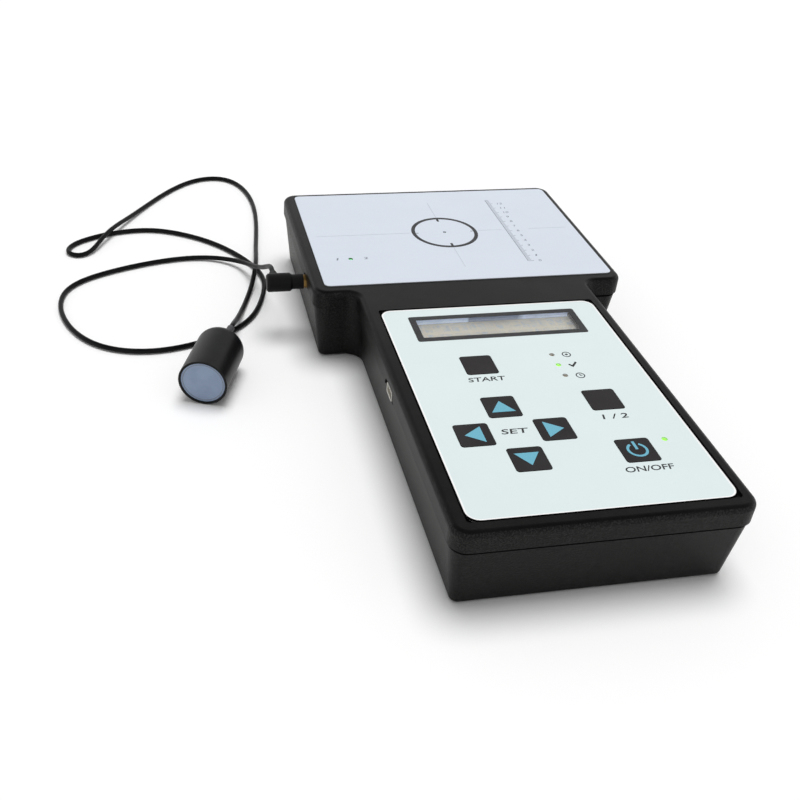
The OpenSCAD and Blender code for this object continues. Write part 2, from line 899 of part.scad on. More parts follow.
module jack_body() {
    color([0.07, 0.07, 0.08])
        difference() {
            translate([jack_face, jack_y - jack_w / 2, parting_h - jack_h / 2])
                cube([jack_deep, jack_w, jack_h]);
            on_jack_axis(jack_face - cut) cylinder(r = pin_r + pin_gap, h = jack_deep - jack_back_t + cut);
        }
}

module jack_bushing() {
    color([0.72, 0.56, 0.3])
        on_jack_axis(bushing_end)
            difference() {
                cylinder(r = bushing_r, h = jack_face - bushing_end);
                translate([0, 0, -cut])
                    cylinder(r = pin_r + pin_gap, h = jack_face - bushing_end + 2 * cut);
            }
}

// Plug: a round grip with a slimmer neck, and a tapered boot for the cable on its far side
module plug_body() {
    color([0.09, 0.09, 0.1]) {
        on_jack_axis(plug_end)
            rotate_extrude()
                polygon([
                    [0, 0],
                    [plug_d / 2 - grip_round, 0],
                    [plug_d / 2, grip_round],
                    [plug_d / 2, plug_len - neck_len - grip_cone],
                    [neck_d / 2, plug_len - neck_len],
                    [neck_d / 2, plug_len],
                    [0, plug_len]
                ]);
        translate([plug_exit.x, jack_y, parting_h])
            rotate([-90, 0, 0])
                rotate_extrude()
                    polygon([
                        [0, 0],
                        [boot_r, 0],
                        [boot_r, plug_d / 2],
                        [boot_tip_r, boot_tip],
                        [0, boot_tip]
                    ]);
    }
}

module plug_pin() {
    tip = 2;
    tip_gap = 0.5;
    pin_len = jack_end - jack_back_t - tip_gap - bushing_end;
    color([0.75, 0.6, 0.32])
        on_jack_axis(bushing_end)
            rotate_extrude()
                polygon([[0, 0], [pin_r, 0], [pin_r, pin_len - tip], [pin_r / 2, pin_len], [0, pin_len]]);
}

// ---- Probe ----

// Lays a child down along the probe: its +Z runs from the face to the back
module along_probe() {
    translate([probe_face_at.x, probe_face_at.y, probe_r])
        rotate([0, 0, probe_turn])
            rotate([-90, 0, 0]) children();
}

module probe_shell() {
    seat_r = probe_r - face_rim;
    bore_r = seat_r - seat_ledge;
    color([0.08, 0.08, 0.09])
        along_probe()
            rotate_extrude()
                difference() {
                    square([probe_r, probe_len]);
                    difference() {
                        translate([probe_r - probe_back_round, probe_len - probe_back_round])
                            square(probe_back_round + cut);
                        translate([probe_r - probe_back_round, probe_len - probe_back_round])
                            circle(r = probe_back_round);
                    }
                    translate([0, -cut]) square([seat_r, face_deep + face_t + cut]);
                    square([bore_r, probe_len - probe_back_t]);
                    square([relief_r + screw_gap, probe_len + cut]);
                }
}

module probe_face() {
    color([0.6, 0.7, 0.82])
        along_probe()
            translate([0, 0, face_deep]) cylinder(r = probe_r - face_rim - face_gap, h = face_t);
}

probe_inner_gap = 0.2;
probe_inner_z = face_deep + face_t + probe_inner_gap;
former_len = 11;
former_flange_t = 1;
former_flange_r = probe_r - face_rim - 0.7;
former_core_r = 4.5;
former_bore_r = 3.2;
probe_winding_in = 0.8;
probe_core_gap = 0.2;
probe_core_past = 2;

module probe_former() {
    color([0.85, 0.83, 0.76])
        along_probe()
            translate([0, 0, probe_inner_z])
                difference() {
                    union() {
                        cylinder(r = former_flange_r, h = former_flange_t);
                        cylinder(r = former_core_r, h = former_len);
                        translate([0, 0, former_len - former_flange_t])
                            cylinder(r = former_flange_r, h = former_flange_t);
                    }
                    translate([0, 0, -cut]) cylinder(r = former_bore_r, h = former_len + 2 * cut);
                }
}

module probe_winding() {
    color([0.7, 0.38, 0.18])
        along_probe()
            translate([0, 0, probe_inner_z + former_flange_t])
                difference() {
                    cylinder(r = former_flange_r - probe_winding_in, h = former_len - 2 * former_flange_t);
                    translate([0, 0, -cut])
                        cylinder(r = former_core_r + winding_gap, h = former_len + 2 * cut);
                }
}

module probe_core() {
    color([0.2, 0.2, 0.21])
        along_probe()
            translate([0, 0, probe_inner_z])
                cylinder(r = former_bore_r - probe_core_gap, h = former_len + probe_core_past);
}

module probe_relief() {
    inner_z = probe_len - probe_back_t;
    color([0.3, 0.3, 0.31])
        along_probe()
            rotate_extrude()
                polygon([
                    [0, inner_z - relief_flange_t],
                    [relief_flange_r, inner_z - relief_flange_t],
                    [relief_flange_r, inner_z],
                    [relief_r, inner_z],
                    [relief_r, probe_len + relief_straight],
                    [relief_tip_r, probe_len + relief_len],
                    [0, probe_len + relief_len]
                ]);
}

// ---- Cable ----

// A point on the smooth curve that four neighbouring route points pull into shape
function smooth(a, b, c, d, t) =
    (pow(1 - t, 3) * a + (3 * t * t * t - 6 * t * t + 4) * b
        + (3 * t + 3 * t * t - 3 * t * t * t + 1) * c + t * t * t * d) / 6;

function unit(v) = v / norm(v);

last = len(ROUTE) - 1;
ring_gap = 10.5;
LINE = [
    for (i = [0 : last - 1])
        let (
            b = ROUTE[i],
            c = ROUTE[i + 1],
            a = i == 0 ? 2 * b - c : ROUTE[i - 1],
            d = i == last - 1 ? 2 * c - b : ROUTE[i + 2]
        )
        let (parts = max(1, round(norm(c - b) / ring_gap)))
        for (k = [0 : parts - 1]) smooth(a, b, c, d, k / parts),
    ROUTE[last]
];

// Direction of the cable at a ring: straight out at both ends
function cable_way(i) =
    i == 0 ? unit(ROUTE[1] - ROUTE[0])
        : i == len(LINE) - 1 ? unit(ROUTE[last] - ROUTE[last - 1])
        : unit(LINE[i + 1] - LINE[i - 1]);

module probe_cable() {
    count = len(LINE);
    rings = [
        for (i = [0 : count - 1])
            let (
                ahead = cable_way(i),
                side = unit(cross(ahead, [0, 0, 1])),
                up = cross(side, ahead)
            )
            for (k = [0 : cable_sides - 1])
                let (a = 360 * k / cable_sides)
                LINE[i] + cable_r * (cos(a) * side + sin(a) * up)
    ];
    walls = [
        for (i = [0 : count - 2], k = [0 : cable_sides - 1])
            let (k2 = (k + 1) % cable_sides, a = i * cable_sides, b = a + cable_sides)
            each [[a + k, a + k2, b + k2], [a + k, b + k2, b + k]]
    ];
    first_cap = [for (k = [cable_sides - 1 : -1 : 0]) k];
    last_cap = [for (k = [0 : cable_sides - 1]) (count - 1) * cable_sides + k];
    color([0.05, 0.05, 0.06]) polyhedron(rings, concat(walls, [first_cap, last_cap]));
}

upper_case();
lower_case();
case_screws();
keypad_overlay();
head_overlay();
display_window();
display_frame();
display_glass();
display_backlight();
display_board();
display_header();
key(KEYS[0]);  // run_key
key(KEYS[1]);  // up_key
key(KEYS[2]);  // left_key
key(KEYS[3]);  // right_key
key(KEYS[4]);  // down_key
key(KEYS[5]);  // sensor_key
key(KEYS[6]);  // power_key
plunger(KEYS[0]);  // run_plunger
plunger(KEYS[1]);  // up_plunger
plunger(KEYS[2]);  // left_plunger
plunger(KEYS[3]);  // right_plunger
plunger(KEYS[4]);  // down_plunger
plunger(KEYS[5]);  // sensor_plunger
plunger(KEYS[6]);  // power_plunger
switch_bodies();
lamp(LAMPS[0], board_top + chip_h, keypad_top - lamp_sunk);  // measure_lamp
lamp(LAMPS[1], board_top + chip_h, keypad_top - lamp_sunk);  // ready_lamp
lamp(LAMPS[2], board_top + chip_h, keypad_top - lamp_sunk);  // wait_lamp
lamp(LAMPS[3], board_top + chip_h, keypad_top - lamp_sunk);  // power_lamp
lamp(HEAD_LAMP, sensor_top + chip_h, head_top - lamp_sunk);  // head_lamp
lamp_chips();
main_board();
board_chips();
board_screws();
battery_tray();
battery_cells();
usb_socket();
usb_tongue();
sensor_board();
coil_former();
coil_winding();
coil_core();
ribbon_cable();
jack_body();
jack_bushing();
plug_body();
plug_pin();
probe_cable();
probe_shell();
probe_face();
probe_former();
probe_winding();
probe_core();
probe_relief();
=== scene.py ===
# %% [markdown]
# # A counter-top metal tester, dressed for its portrait
#
# The tester is a flat black case in the shape of a T. Its narrow half carries a keypad and a small
# display, its wide half a flat target, and a probe hangs on a thin cable at its left side. The
# case, the keys and all that is inside them come ready made as a fixed frame, in metres. This
# lesson gives them their finishes, and adds the cable, the printed marks and the small parts.

import json
import math

import bmesh
import bpy
from mathutils import Matrix, Vector


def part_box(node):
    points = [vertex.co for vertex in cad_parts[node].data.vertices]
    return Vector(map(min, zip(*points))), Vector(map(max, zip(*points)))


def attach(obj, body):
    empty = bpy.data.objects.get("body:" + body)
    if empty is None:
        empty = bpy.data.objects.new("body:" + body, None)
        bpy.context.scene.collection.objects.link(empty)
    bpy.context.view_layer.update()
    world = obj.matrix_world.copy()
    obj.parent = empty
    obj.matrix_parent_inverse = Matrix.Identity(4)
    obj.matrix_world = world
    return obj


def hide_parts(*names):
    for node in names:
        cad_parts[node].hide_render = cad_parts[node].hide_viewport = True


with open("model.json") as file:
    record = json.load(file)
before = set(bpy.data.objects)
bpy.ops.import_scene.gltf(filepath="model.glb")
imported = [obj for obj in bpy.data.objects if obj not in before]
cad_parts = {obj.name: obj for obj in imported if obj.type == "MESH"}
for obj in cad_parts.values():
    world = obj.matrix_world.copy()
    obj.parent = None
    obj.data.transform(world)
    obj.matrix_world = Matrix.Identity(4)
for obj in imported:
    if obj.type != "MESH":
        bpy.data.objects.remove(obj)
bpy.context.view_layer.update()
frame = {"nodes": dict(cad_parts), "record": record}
nodes = frame["nodes"]
mm = 0.001


def new_object(name, data):
    """An object, put into the scene."""
    made = bpy.data.objects.new(name, data)
    bpy.context.scene.collection.objects.link(made)
    return made


def shown_mesh(carrier):
    """The mesh that a curve, a text or a cut solid shows. The carrier itself goes."""
    graph = bpy.context.evaluated_depsgraph_get()
    mesh = bpy.data.meshes.new_from_object(carrier.evaluated_get(graph))
    bpy.data.objects.remove(carrier)
    return mesh


# %% [markdown]
# ## The camera
#
# A camera can be aimed with a constraint, but a photograph has its own turn, dip and roll. Here the
# three angles were measured, so the camera is turned by them and stays free of constraints. The
# picture was cut out of a wider one, so its middle isn't the lens's middle: a small sideways
# shift takes care of that.

# %% Camera
camera_spot = Vector((-0.1289, -0.3199, 0.2276))
turn_right, look_down, roll = (math.radians(a) for a in (12.56, 35.33, 3.364))
camera_data = bpy.data.cameras.new("camera")
camera_data.lens = 43.946
camera_data.sensor_width = 36
camera_data.shift_x = 0.06875
camera_data.clip_start = 0.01
camera = new_object("camera", camera_data)
camera.matrix_world = (
    Matrix.Translation(camera_spot)
    @ Matrix.Rotation(-turn_right, 4, "Z")
    @ Matrix.Rotation(math.pi / 2 - look_down, 4, "X")
    @ Matrix.Rotation(roll, 4, "Z")
)
bpy.context.scene.camera = camera
print("camera stands", round(camera_spot.z / mm), "mm above the table")

# %% [markdown]
# ## The probe's cable
#
# A thin limp cable lies on the table in loose loops. It could be left to a simulation, but its lie
# is known, so its middle line is drawn by points. Four neighbours at a time pull a cubic curve
# between them, which is smooth and never kinks. A round bevel gives the curve its thickness, and
# the result is kept as a mesh, since a curve's own box isn't the box of its surface.

# %% Cable route, in millimetres: x, y, height
cable_d = 2.2
lie = cable_d / 2
probe_r = 9.9
probe_way = Vector((0.34366, 0.93909, 0))
relief_end = Vector((-100.6914, 37.7932, probe_r))
exit_run = 3.5
route = [
    (-80.5, 57, 24.8), (-80.5, 60.5, 24.8), (-80.5, 66.5, 23.7), (-81.5, 78, 16.7),
    (-84, 93.5, 8.8), (-88.5, 111.5, 2.8), (-104.5, 122), (-127.5, 120), (-158, 108.5),
    (-175, 94.5), (-174, 68.5), (-160.5, 43), (-136, 34.5), (-111, 41.5), (-90, 55), (-81.5, 80),
    (-78, 101), (-92.5, 127.5), (-108, 143.5), (-130, 156), (-150.5, 153), (-163, 147),
    (-171, 141), (-174, 133), (-168.5, 127.5), (-161.5, 130.5), (-156, 143, 3.4),
    (-150, 154.5, 3.9), (-140.5, 173), (-124, 200), (-105, 220.5), (-83.5, 220),
    (-74.5, 189.5), (-76.5, 155), (-80.5, 126.5, 1.4), (-82, 106.5, 5.8), (-86.5, 87),
    (-95, 61.5), tuple(relief_end + exit_run * probe_way), tuple(relief_end),
]
route = [Vector((*p[:2], p[2] if len(p) > 2 else lie)) for p in route]


def pulled(a, b, c, d, t):
    """A point on the smooth curve that four neighbouring points pull into shape."""
    return (
        (1 - t) ** 3 * a
        + (3 * t**3 - 6 * t * t + 4) * b
        + (3 * t + 3 * t * t - 3 * t**3 + 1) * c
        + t**3 * d
    ) / 6


def smooth_line(points, steps):
    """The whole curve through the pull of its points, from the first to the last."""
    ends = [2 * points[0] - points[1], *points, 2 * points[-1] - points[-2]]
    spans = [ends[i : i + 4] for i in range(len(points) - 1)]
    return [*(pulled(*four, k / steps) for four in spans for k in range(steps)), points[-1]]


middle_line = smooth_line(route, 10)
cable_length = sum((b - a).length for a, b in zip(middle_line, middle_line[1:]))
print("cable is", round(cable_length), "mm long, in", len(middle_line), "points")

# %% Cable as a round tube along that line
curve = bpy.data.curves.new("lead_line", "CURVE")
curve.dimensions = "3D"
curve.bevel_depth = lie * mm
curve.bevel_resolution = 5
curve.use_fill_caps = True
spline = curve.splines.new("POLY")
spline.points.add(len(middle_line) - 1)
for point, place in zip(spline.points, middle_line):
    point.co = (*(place * mm), 1)
spline.use_smooth = True
tube = shown_mesh(new_object("lead_line", curve))
probe_lead = new_object("probe_lead", tube)
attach(probe_lead, "tester")
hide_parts("probe_cable")

# %% [markdown]
# ## Wiring for finishes
#
# A finish is a small network of nodes. Written out node by node it gets long, so one helper places
# a node, sets what is constant and links what isn't. Effects that many finishes share, such as
# grain or dust, are groups: each is built once and placed with its own values.

# %% Helpers that place nodes
def put(tree, kind, feeds=(), **settings):
    """A new node; feeds gives its inputs a constant or another node's output."""
    node = tree.nodes.new("ShaderNode" + kind)
    for name, value in settings.items():
        setattr(node, name, value)
    for name, value in dict(feeds).items():
        if isinstance(value, bpy.types.NodeSocket):
            tree.links.new(value, node.inputs[name])
        else:
            node.inputs[name].default_value = value
    return node


def maths(tree, operation, a, b=0.0, c=0.0):
    """The result of one sum on values or sockets."""
    return put(tree, "Math", {0: a, 1: b, 2: c}, operation=operation).outputs[0]


def ramp(tree, value, low, high, start=0.0, end=1.0):
    """A value moved from the range low to high into the range start to end, and kept in it."""
    node = put(tree, "MapRange", {"Value": value, "From Min": low, "From Max": high})
    node.inputs["To Min"].default_value = start
    node.inputs["To Max"].default_value = end
    return node.outputs["Result"]


def mixed(tree, share, a, b):
    """A colour between two colours or sockets."""
    node = put(tree, "Mix", {0: share}, data_type="RGBA")
    for spot, value in ((6, a), (7, b)):
        if isinstance(value, bpy.types.NodeSocket):
            tree.links.new(value, node.inputs[spot])
        else:
            node.inputs[spot].default_value = (*value, 1)
    return node.outputs[2]


def place(tree):
    """Places on the object, in metres, the same for every piece."""
    return put(tree, "TexCoord").outputs["Object"]


def spot_on(tree, axis):
    """How far along X, Y or Z a place lies, in metres."""
    return put(tree, "SeparateXYZ", {0: place(tree)}).outputs[axis]


def facing(tree, axis):
    """How much a surface faces along X, Y or Z, from -1 to 1."""
    return put(tree, "SeparateXYZ", {0: put(tree, "NewGeometry").outputs["Normal"]}).outputs[axis]


def per_mm(tree, size):
    """The texture scale that repeats once in a size given in millimetres."""
    return maths(tree, "DIVIDE", 1 / mm, size)


def noise(tree, size, detail=2.0, rough=0.5, warp=0.0):
    """Cloudy noise with clouds of a size in millimetres."""
    feeds = {"Vector": place(tree), "Scale": per_mm(tree, size)}
    feeds.update({"Detail": detail, "Roughness": rough, "Distortion": warp})
    return put(tree, "TexNoise", feeds).outputs["Fac"]


def group(name, inputs, outputs):
    """An empty group with named value sockets, and its two inner ends."""
    tree = bpy.data.node_groups.new(name, "ShaderNodeTree")
    for label, value in inputs.items():
        socket = tree.interface.new_socket(label, in_out="INPUT", socket_type="NodeSocketFloat")
        socket.default_value = value
    for label in outputs:
        tree.interface.new_socket(label, in_out="OUTPUT", socket_type="NodeSocketFloat")
    return tree, tree.nodes.new("NodeGroupInput").outputs, tree.nodes.new("NodeGroupOutput").inputs


def effect(tree, shared, **values):
    """A group placed in a finish with its own values."""
    node = put(tree, "Group", node_tree=shared)
    for label, value in values.items():
        node.inputs[label.replace("_", " ")].default_value = value
    return node.outputs


# %% [markdown]
# ## Shared effects
#
# Moulded plastic has a fine spark-eroded grain and a faint cloudiness. Handling rubs its edges
# paler, and leaves soft smudges where fingers go. Dust settles on whatever faces up. Turned metal
# and wound wire both show even lines across their axis. Each is a group that puts out a mask or a
# height, so that the finish decides what it does with it.

# %% Grain, rub, smudge, dust and turned lines
grain, came, goes = group("moulded_grain", {"Grain size": 0.5}, ["Height", "Cloud"])
feeds = {"Vector": place(grain), "Scale": per_mm(grain, came["Grain size"])}
pits = put(grain, "TexVoronoi", feeds)
fine = noise(grain, came["Grain size"], 3.0, 0.7)
grain.links.new(maths(grain, "MULTIPLY_ADD", pits.outputs["Distance"], 0.6, fine), goes["Height"])
grain.links.new(ramp(grain, noise(grain, 14.0, 3.0, 0.6), 0.35, 0.65), goes["Cloud"])

rub, came, goes = group("rubbed_edge", {"Width": 0.4, "Amount": 1.0}, ["Mask"])
feeds = {"Radius": maths(rub, "MULTIPLY", came["Width"], mm)}
round_way = put(rub, "Bevel", feeds, samples=4).outputs["Normal"]
real_way = put(rub, "NewGeometry").outputs["Normal"]
same = put(rub, "VectorMath", {0: round_way, 1: real_way}, operation="DOT_PRODUCT")
edge = ramp(rub, same.outputs["Value"], 0.99, 0.7)
broken = ramp(rub, noise(rub, 2.5, 4.0, 0.7), 0.3, 0.7, 0.35, 1.0)
worn = maths(rub, "MULTIPLY", maths(rub, "MULTIPLY", edge, broken), came["Amount"])
rub.links.new(worn, goes["Mask"])

smudge, came, goes = group("finger_smudge", {"Size": 12.0, "Amount": 1.0}, ["Mask"])
blot = ramp(smudge, noise(smudge, came["Size"], 5.0, 0.6, 1.2), 0.48, 0.72)
smudge.links.new(maths(smudge, "MULTIPLY", blot, came["Amount"]), goes["Mask"])

dust, came, goes = group("settled_dust", {"Amount": 0.3}, ["Mask"])
upward = ramp(dust, facing(dust, "Z"), 0.5, 1.0)
flecks = put(dust, "TexVoronoi", {"Vector": place(dust), "Scale": 1 / (1.7 * mm)})
specks = ramp(dust, flecks.outputs["Distance"], 0.12, 0.06)
haze = ramp(dust, noise(dust, 9.0, 4.0), 0.4, 0.8, 0.0, 0.35)
lying = maths(dust, "MULTIPLY", maths(dust, "ADD", specks, haze), upward)
dust.links.new(maths(dust, "MULTIPLY", lying, came["Amount"]), goes["Mask"])

turned, came, goes = group("turned_lines", {"Along": 0.0, "Pitch": 0.3}, ["Height", "Streak"])
line_count = maths(turned, "MULTIPLY", came["Along"], per_mm(turned, came["Pitch"]))
wave = maths(turned, "SINE", maths(turned, "MULTIPLY", line_count, 2 * math.pi))
turned.links.new(ramp(turned, wave, -1.0, 1.0), goes["Height"])
feeds = {"W": line_count, "Scale": 1.3, "Detail": 2.0}
streak = put(turned, "TexNoise", feeds, noise_dimensions="1D")
turned.links.new(ramp(turned, streak.outputs["Fac"], 0.3, 0.7), goes["Streak"])
print("shared effects:", [g.name for g in (grain, rub, smudge, dust, turned)])


# %% A finish, and what wears it
finishes = {}


def new_finish(name, roughness=0.5, **constants):
    """A material whose constants are set on the shader itself."""
    material = bpy.data.materials.new(name)
    material.use_nodes = True
    tree = material.node_tree
    shader = tree.nodes["Principled BSDF"]
    shader.inputs["Roughness"].default_value = roughness
    for label, value in constants.items():
        shader.inputs[label.replace("_", " ")].default_value = value
    finishes[name] = material
    return tree, shader


def feed(shader, label, socket):
    shader.id_data.links.new(socket, shader.inputs[label])


def relief(shader, height, depth):
    """Fine relief on a surface, its depth in millimetres."""
    feeds = {"Height": height, "Distance": depth * mm, "Strength": 1.0}
    feed(shader, "Normal", put(shader.id_data, "Bump", feeds).outputs["Normal"])


def dusted(tree, tone, amount, colour):
    """A tone with dust of a colour lying on it."""
    return mixed(tree, effect(tree, dust, Amount=amount)["Mask"], tone, colour)


def smeared(tree, roughness, size, amount):
    """A roughness that finger smudges raise."""
    return maths(tree, "ADD", effect(tree, smudge, Size=size, Amount=amount)["Mask"], roughness)


def wear(piece, finish):
    """Puts a finish into every material slot of a piece."""
    slots = piece.data.materials
    for i in range(len(slots)):
        slots[i] = finishes[finish]
    if not slots:
        slots.append(finishes[finish])


# %% [markdown]
# ## Moulded plastics
#
# Case, keys, switches and the insides of the coils are all moulded. They differ in colour, grain
# and gloss, not in kind, so one recipe makes them all: two close tones in soft clouds, a grain that
# also shows as relief, paler edges, and a breath of dust. The top of a case is flatter and smoother
# than its walls, since the mould's grain is etched deeper there.

# %% One recipe for moulded plastic
def moulded(name, dark, light, roughness=0.5, size=0.5, depth=0.03, rubbed=0.3, dusty=0.15,
            calm_top=0.0, rub_width=0.5, painted_glints=0.0, **constants):
    tree, shader = new_finish(name, roughness, **constants)
    texture = effect(tree, grain, Grain_size=size)
    edges = effect(tree, rub, Width=rub_width, Amount=rubbed)["Mask"]
    clouds = maths(tree, "MULTIPLY", texture["Cloud"], 0.5)
    share = maths(tree, "MULTIPLY_ADD", texture["Height"], 0.35, clouds)
    tone = mixed(tree, share, dark, light)
    pale = [min(1, 2.2 * v + 0.03) for v in light]
    height = texture["Height"]
    if calm_top:
        calm = ramp(tree, facing(tree, "Z"), 0.75, 0.98, 1.0, 1 - calm_top)
        height = maths(tree, "MULTIPLY", height, calm)
    # Glints are painted highlights: the peaks of the grain are mixed towards a paler tone. The same
    # pale tone on the rubbed edges below is wear.
    if painted_glints:
        tone = mixed(tree, ramp(tree, height, 0.72, 1.0, 0.0, painted_glints), tone, pale)
    tone = mixed(tree, edges, tone, pale)
    feed(shader, "Base Color", dusted(tree, tone, dusty, (0.3, 0.3, 0.29)))
    gloss = maths(tree, "MULTIPLY_ADD", texture["Height"], 0.1, roughness - 0.08)
    feed(shader, "Roughness", maths(tree, "MULTIPLY_ADD", edges, -0.12, gloss))
    relief(shader, height, depth)


moulded("case_plastic", (0.001, 0.0009, 0.0009), (0.0032, 0.003, 0.003), 0.36, 0.46, 0.13, 0.12,
        0.03, 0.75, painted_glints=0.5, Specular_IOR_Level=0.13)
moulded("key_plastic", (0.018, 0.016, 0.0175), (0.03, 0.0275, 0.029), 0.5, 0.35, 0.012, 0.2, 0.05,
        rub_width=0.25, Specular_IOR_Level=0.12)
moulded("switch_plastic", (0.02, 0.02, 0.02), (0.045, 0.045, 0.045), 0.45, 0.3, 0.02)
moulded("plunger_plastic", (0.46, 0.42, 0.32), (0.6, 0.56, 0.45), 0.4, 0.6, 0.01, 0.2)
moulded("chip_epoxy", (0.012, 0.012, 0.013), (0.035, 0.035, 0.036), 0.6, 0.2, 0.02, 0.4)
moulded("coil_plastic", (0.55, 0.52, 0.42), (0.7, 0.67, 0.56), 0.42, 0.8, 0.015, 0.2)
moulded("ferrite", (0.025, 0.025, 0.028), (0.07, 0.07, 0.075), 0.38, 0.25, 0.03, 0.6, Metallic=0.2)
moulded("plug_plastic", (0.004, 0.004, 0.0043), (0.01, 0.01, 0.0106), 0.48, 0.4, 0.02, 0.2, 0.05,
        rub_width=0.3, Specular_IOR_Level=0.1)
moulded("relief_rubber", (0.05, 0.05, 0.054), (0.1, 0.1, 0.106), 0.6, 0.5, 0.02, 0.2, 0.2)
moulded("probe_plastic", (0.003, 0.003, 0.0033), (0.008, 0.008, 0.009), 0.34, 0.7, 0.008, 0.15,
        0.05, rub_width=0.4, Specular_IOR_Level=0.17)
print(len(finishes), "moulded finishes")

# %% [markdown]
# ## Printed films
#
# Keypad and target are sheets of polyester film, printed and stuck on. They are satin, nearly
# flat, and pale all through. Seen from the side they are paler still, where the knife cut them, so
# the finish reads which way the surface faces and whitens whatever doesn't face up. The bright line
# round the keypad's top is a finish of its own, for a piece that comes later.

# %% Film, its cut edge and its faint orange peel
def printed_film(name, tone, edge, roughness=0.34, **constants):
    tree, shader = new_finish(name, roughness, **constants)
    cloud = ramp(tree, noise(tree, 30.0, 3.0, 0.6), 0.35, 0.65)
    shade = mixed(tree, cloud, [v * 0.985 for v in tone], tone)
    flat = ramp(tree, facing(tree, "Z"), 0.3, 0.6)
    tone = mixed(tree, flat, edge, shade)
    feed(shader, "Base Color", dusted(tree, tone, 0.05, (0.45, 0.44, 0.42)))
    feed(shader, "Roughness", smeared(tree, roughness, 14.0, 0.1))
    relief(shader, noise(tree, 1.1, 2.0), 0.0025)


printed_film("keypad_film", (0.735, 0.83, 0.83), (0.93, 0.95, 0.95), Specular_IOR_Level=0.3)
printed_film("target_film", (0.665, 0.72, 0.805), (0.8, 0.83, 0.88), Specular_IOR_Level=0.3)
printed_film("cut_edge", (1.0, 1.0, 1.0), (1.0, 1.0, 1.0), 0.25)

# %% [markdown]
# ## Ink
#
# Screen print lies on the film as a thin, slightly rough coat. Its marks are cut as thin plates, a
# few hundredths of a millimetre thick, so that they stay sharp at any distance. The ink takes a
# little of the film's tone where it is thin.

# %% Inks
usual_shine = 0.3


def ink(name, deep, thin, roughness=0.42, shine=usual_shine):
    """Ink or painted gap shade. The duller it shines, the deeper it lies, the less dust reaches it.
    """
    tree, shader = new_finish(name, roughness, Specular_IOR_Level=shine)
    patchy = ramp(tree, noise(tree, 0.5, 4.0, 0.7), 0.45, 0.8)
    tone = mixed(tree, patchy, deep, thin)
    dust_here = 0.04 * min(1, shine / usual_shine)
    feed(shader, "Base Color", dusted(tree, tone, dust_here, (0.4, 0.4, 0.4)))
    feed(shader, "Roughness", smeared(tree, roughness, 6.0, 0.15))
    relief(shader, noise(tree, 0.3, 2.0), 0.002)


ink("print_ink", (0.02, 0.02, 0.022), (0.05, 0.05, 0.054))
# The dull black coat is painted shade for the gaps round the keypad and between the case halves.
ink("painted_gap_shade", (0.001, 0.001, 0.001), (0.002, 0.002, 0.002), 0.8, 0.02)
ink("print_blue", (0.15, 0.44, 0.57), (0.19, 0.5, 0.63))
ink("pale_grey_ink", (0.2, 0.22, 0.26), (0.3, 0.33, 0.37))
ink("faint_ink", (0.53, 0.57, 0.63), (0.58, 0.62, 0.69))

# %% [markdown]
# ## Display
#
# Behind a clear window lies a liquid crystal glass in a black steel frame, over a milky light
# guide. Seen from a low angle its idle characters show as faint bluish cells, two rows of sixteen,
# on a grey-beige ground. A picture could hold those cells. Counting the place in cell widths gives
# them their true pitch and keeps them sharp. A pale strip at the back edge of the opening is a
# painted reflection that glows faintly, brighter towards its left and right parts.

# %% Window, frame, liquid crystal, light guide and painted reflection strip
tree, shader = new_finish("window_clear", 0.03, Transmission_Weight=1.0, IOR=1.49)
shader.inputs["Base Color"].default_value = (0.97, 0.985, 0.985, 1)
smears = effect(tree, smudge, Size=9.0, Amount=1.0)["Mask"]
feed(shader, "Roughness", ramp(tree, smears, 0, 1, 0.015, 0.05))
relief(shader, noise(tree, 6.0, 2.0), 0.002)

tree, shader = new_finish("display_metal", 0.45, Specular_IOR_Level=0.4)
texture = effect(tree, grain, Grain_size=0.35)
edges = effect(tree, rub, Width=0.2, Amount=0.4)["Mask"]
lacquer = mixed(tree, texture["Cloud"], (0.03, 0.03, 0.032), (0.05, 0.05, 0.052))
feed(shader, "Base Color", mixed(tree, edges, lacquer, (0.2, 0.2, 0.2)))
feed(shader, "Roughness", ramp(tree, texture["Height"], 0.0, 1.5, 0.35, 0.55))
relief(shader, texture["Height"], 0.006)

sight_mid = (0.5, -7.7)
sight_size = (64.6, 14.7)
cell_pitch = (3.65, 6.6)
tree, shader = new_finish("display_glass", 0.2, Coat_Roughness=0.05)
inside = 1.0
for k, (axis, cells, gap) in enumerate((("X", 16, 0.08), ("Y", 2, 0.1))):
    pitch = cell_pitch[k] * mm
    from_edge = maths(tree, "ADD", spot_on(tree, axis), cells * pitch / 2 - sight_mid[k] * mm)
    in_cell = maths(tree, "FRACT", maths(tree, "DIVIDE", from_edge, pitch))
    rise = ramp(tree, in_cell, gap, gap + 0.04)
    fall = ramp(tree, in_cell, 1 - gap, 0.96 - gap)
    inside = maths(tree, "MULTIPLY", inside, maths(tree, "MULTIPLY", rise, fall))
strokes = ramp(tree, noise(tree, 1.5, 1.0, 0.5), 0.5, 0.58)
idle = maths(tree, "MULTIPLY", inside, maths(tree, "MULTIPLY_ADD", strokes, 0.5, 0.14))
ground = mixed(tree, noise(tree, 20.0), (0.44, 0.39, 0.29), (0.56, 0.5, 0.38))
feed(shader, "Base Color", mixed(tree, idle, ground, (0.25, 0.33, 0.45)))
feed(shader, "Coat Weight", ramp(tree, noise(tree, 8.0), 0.3, 0.7, 0.4, 0.6))
feed(shader, "Roughness", ramp(tree, inside, 0, 1, 0.25, 0.18))
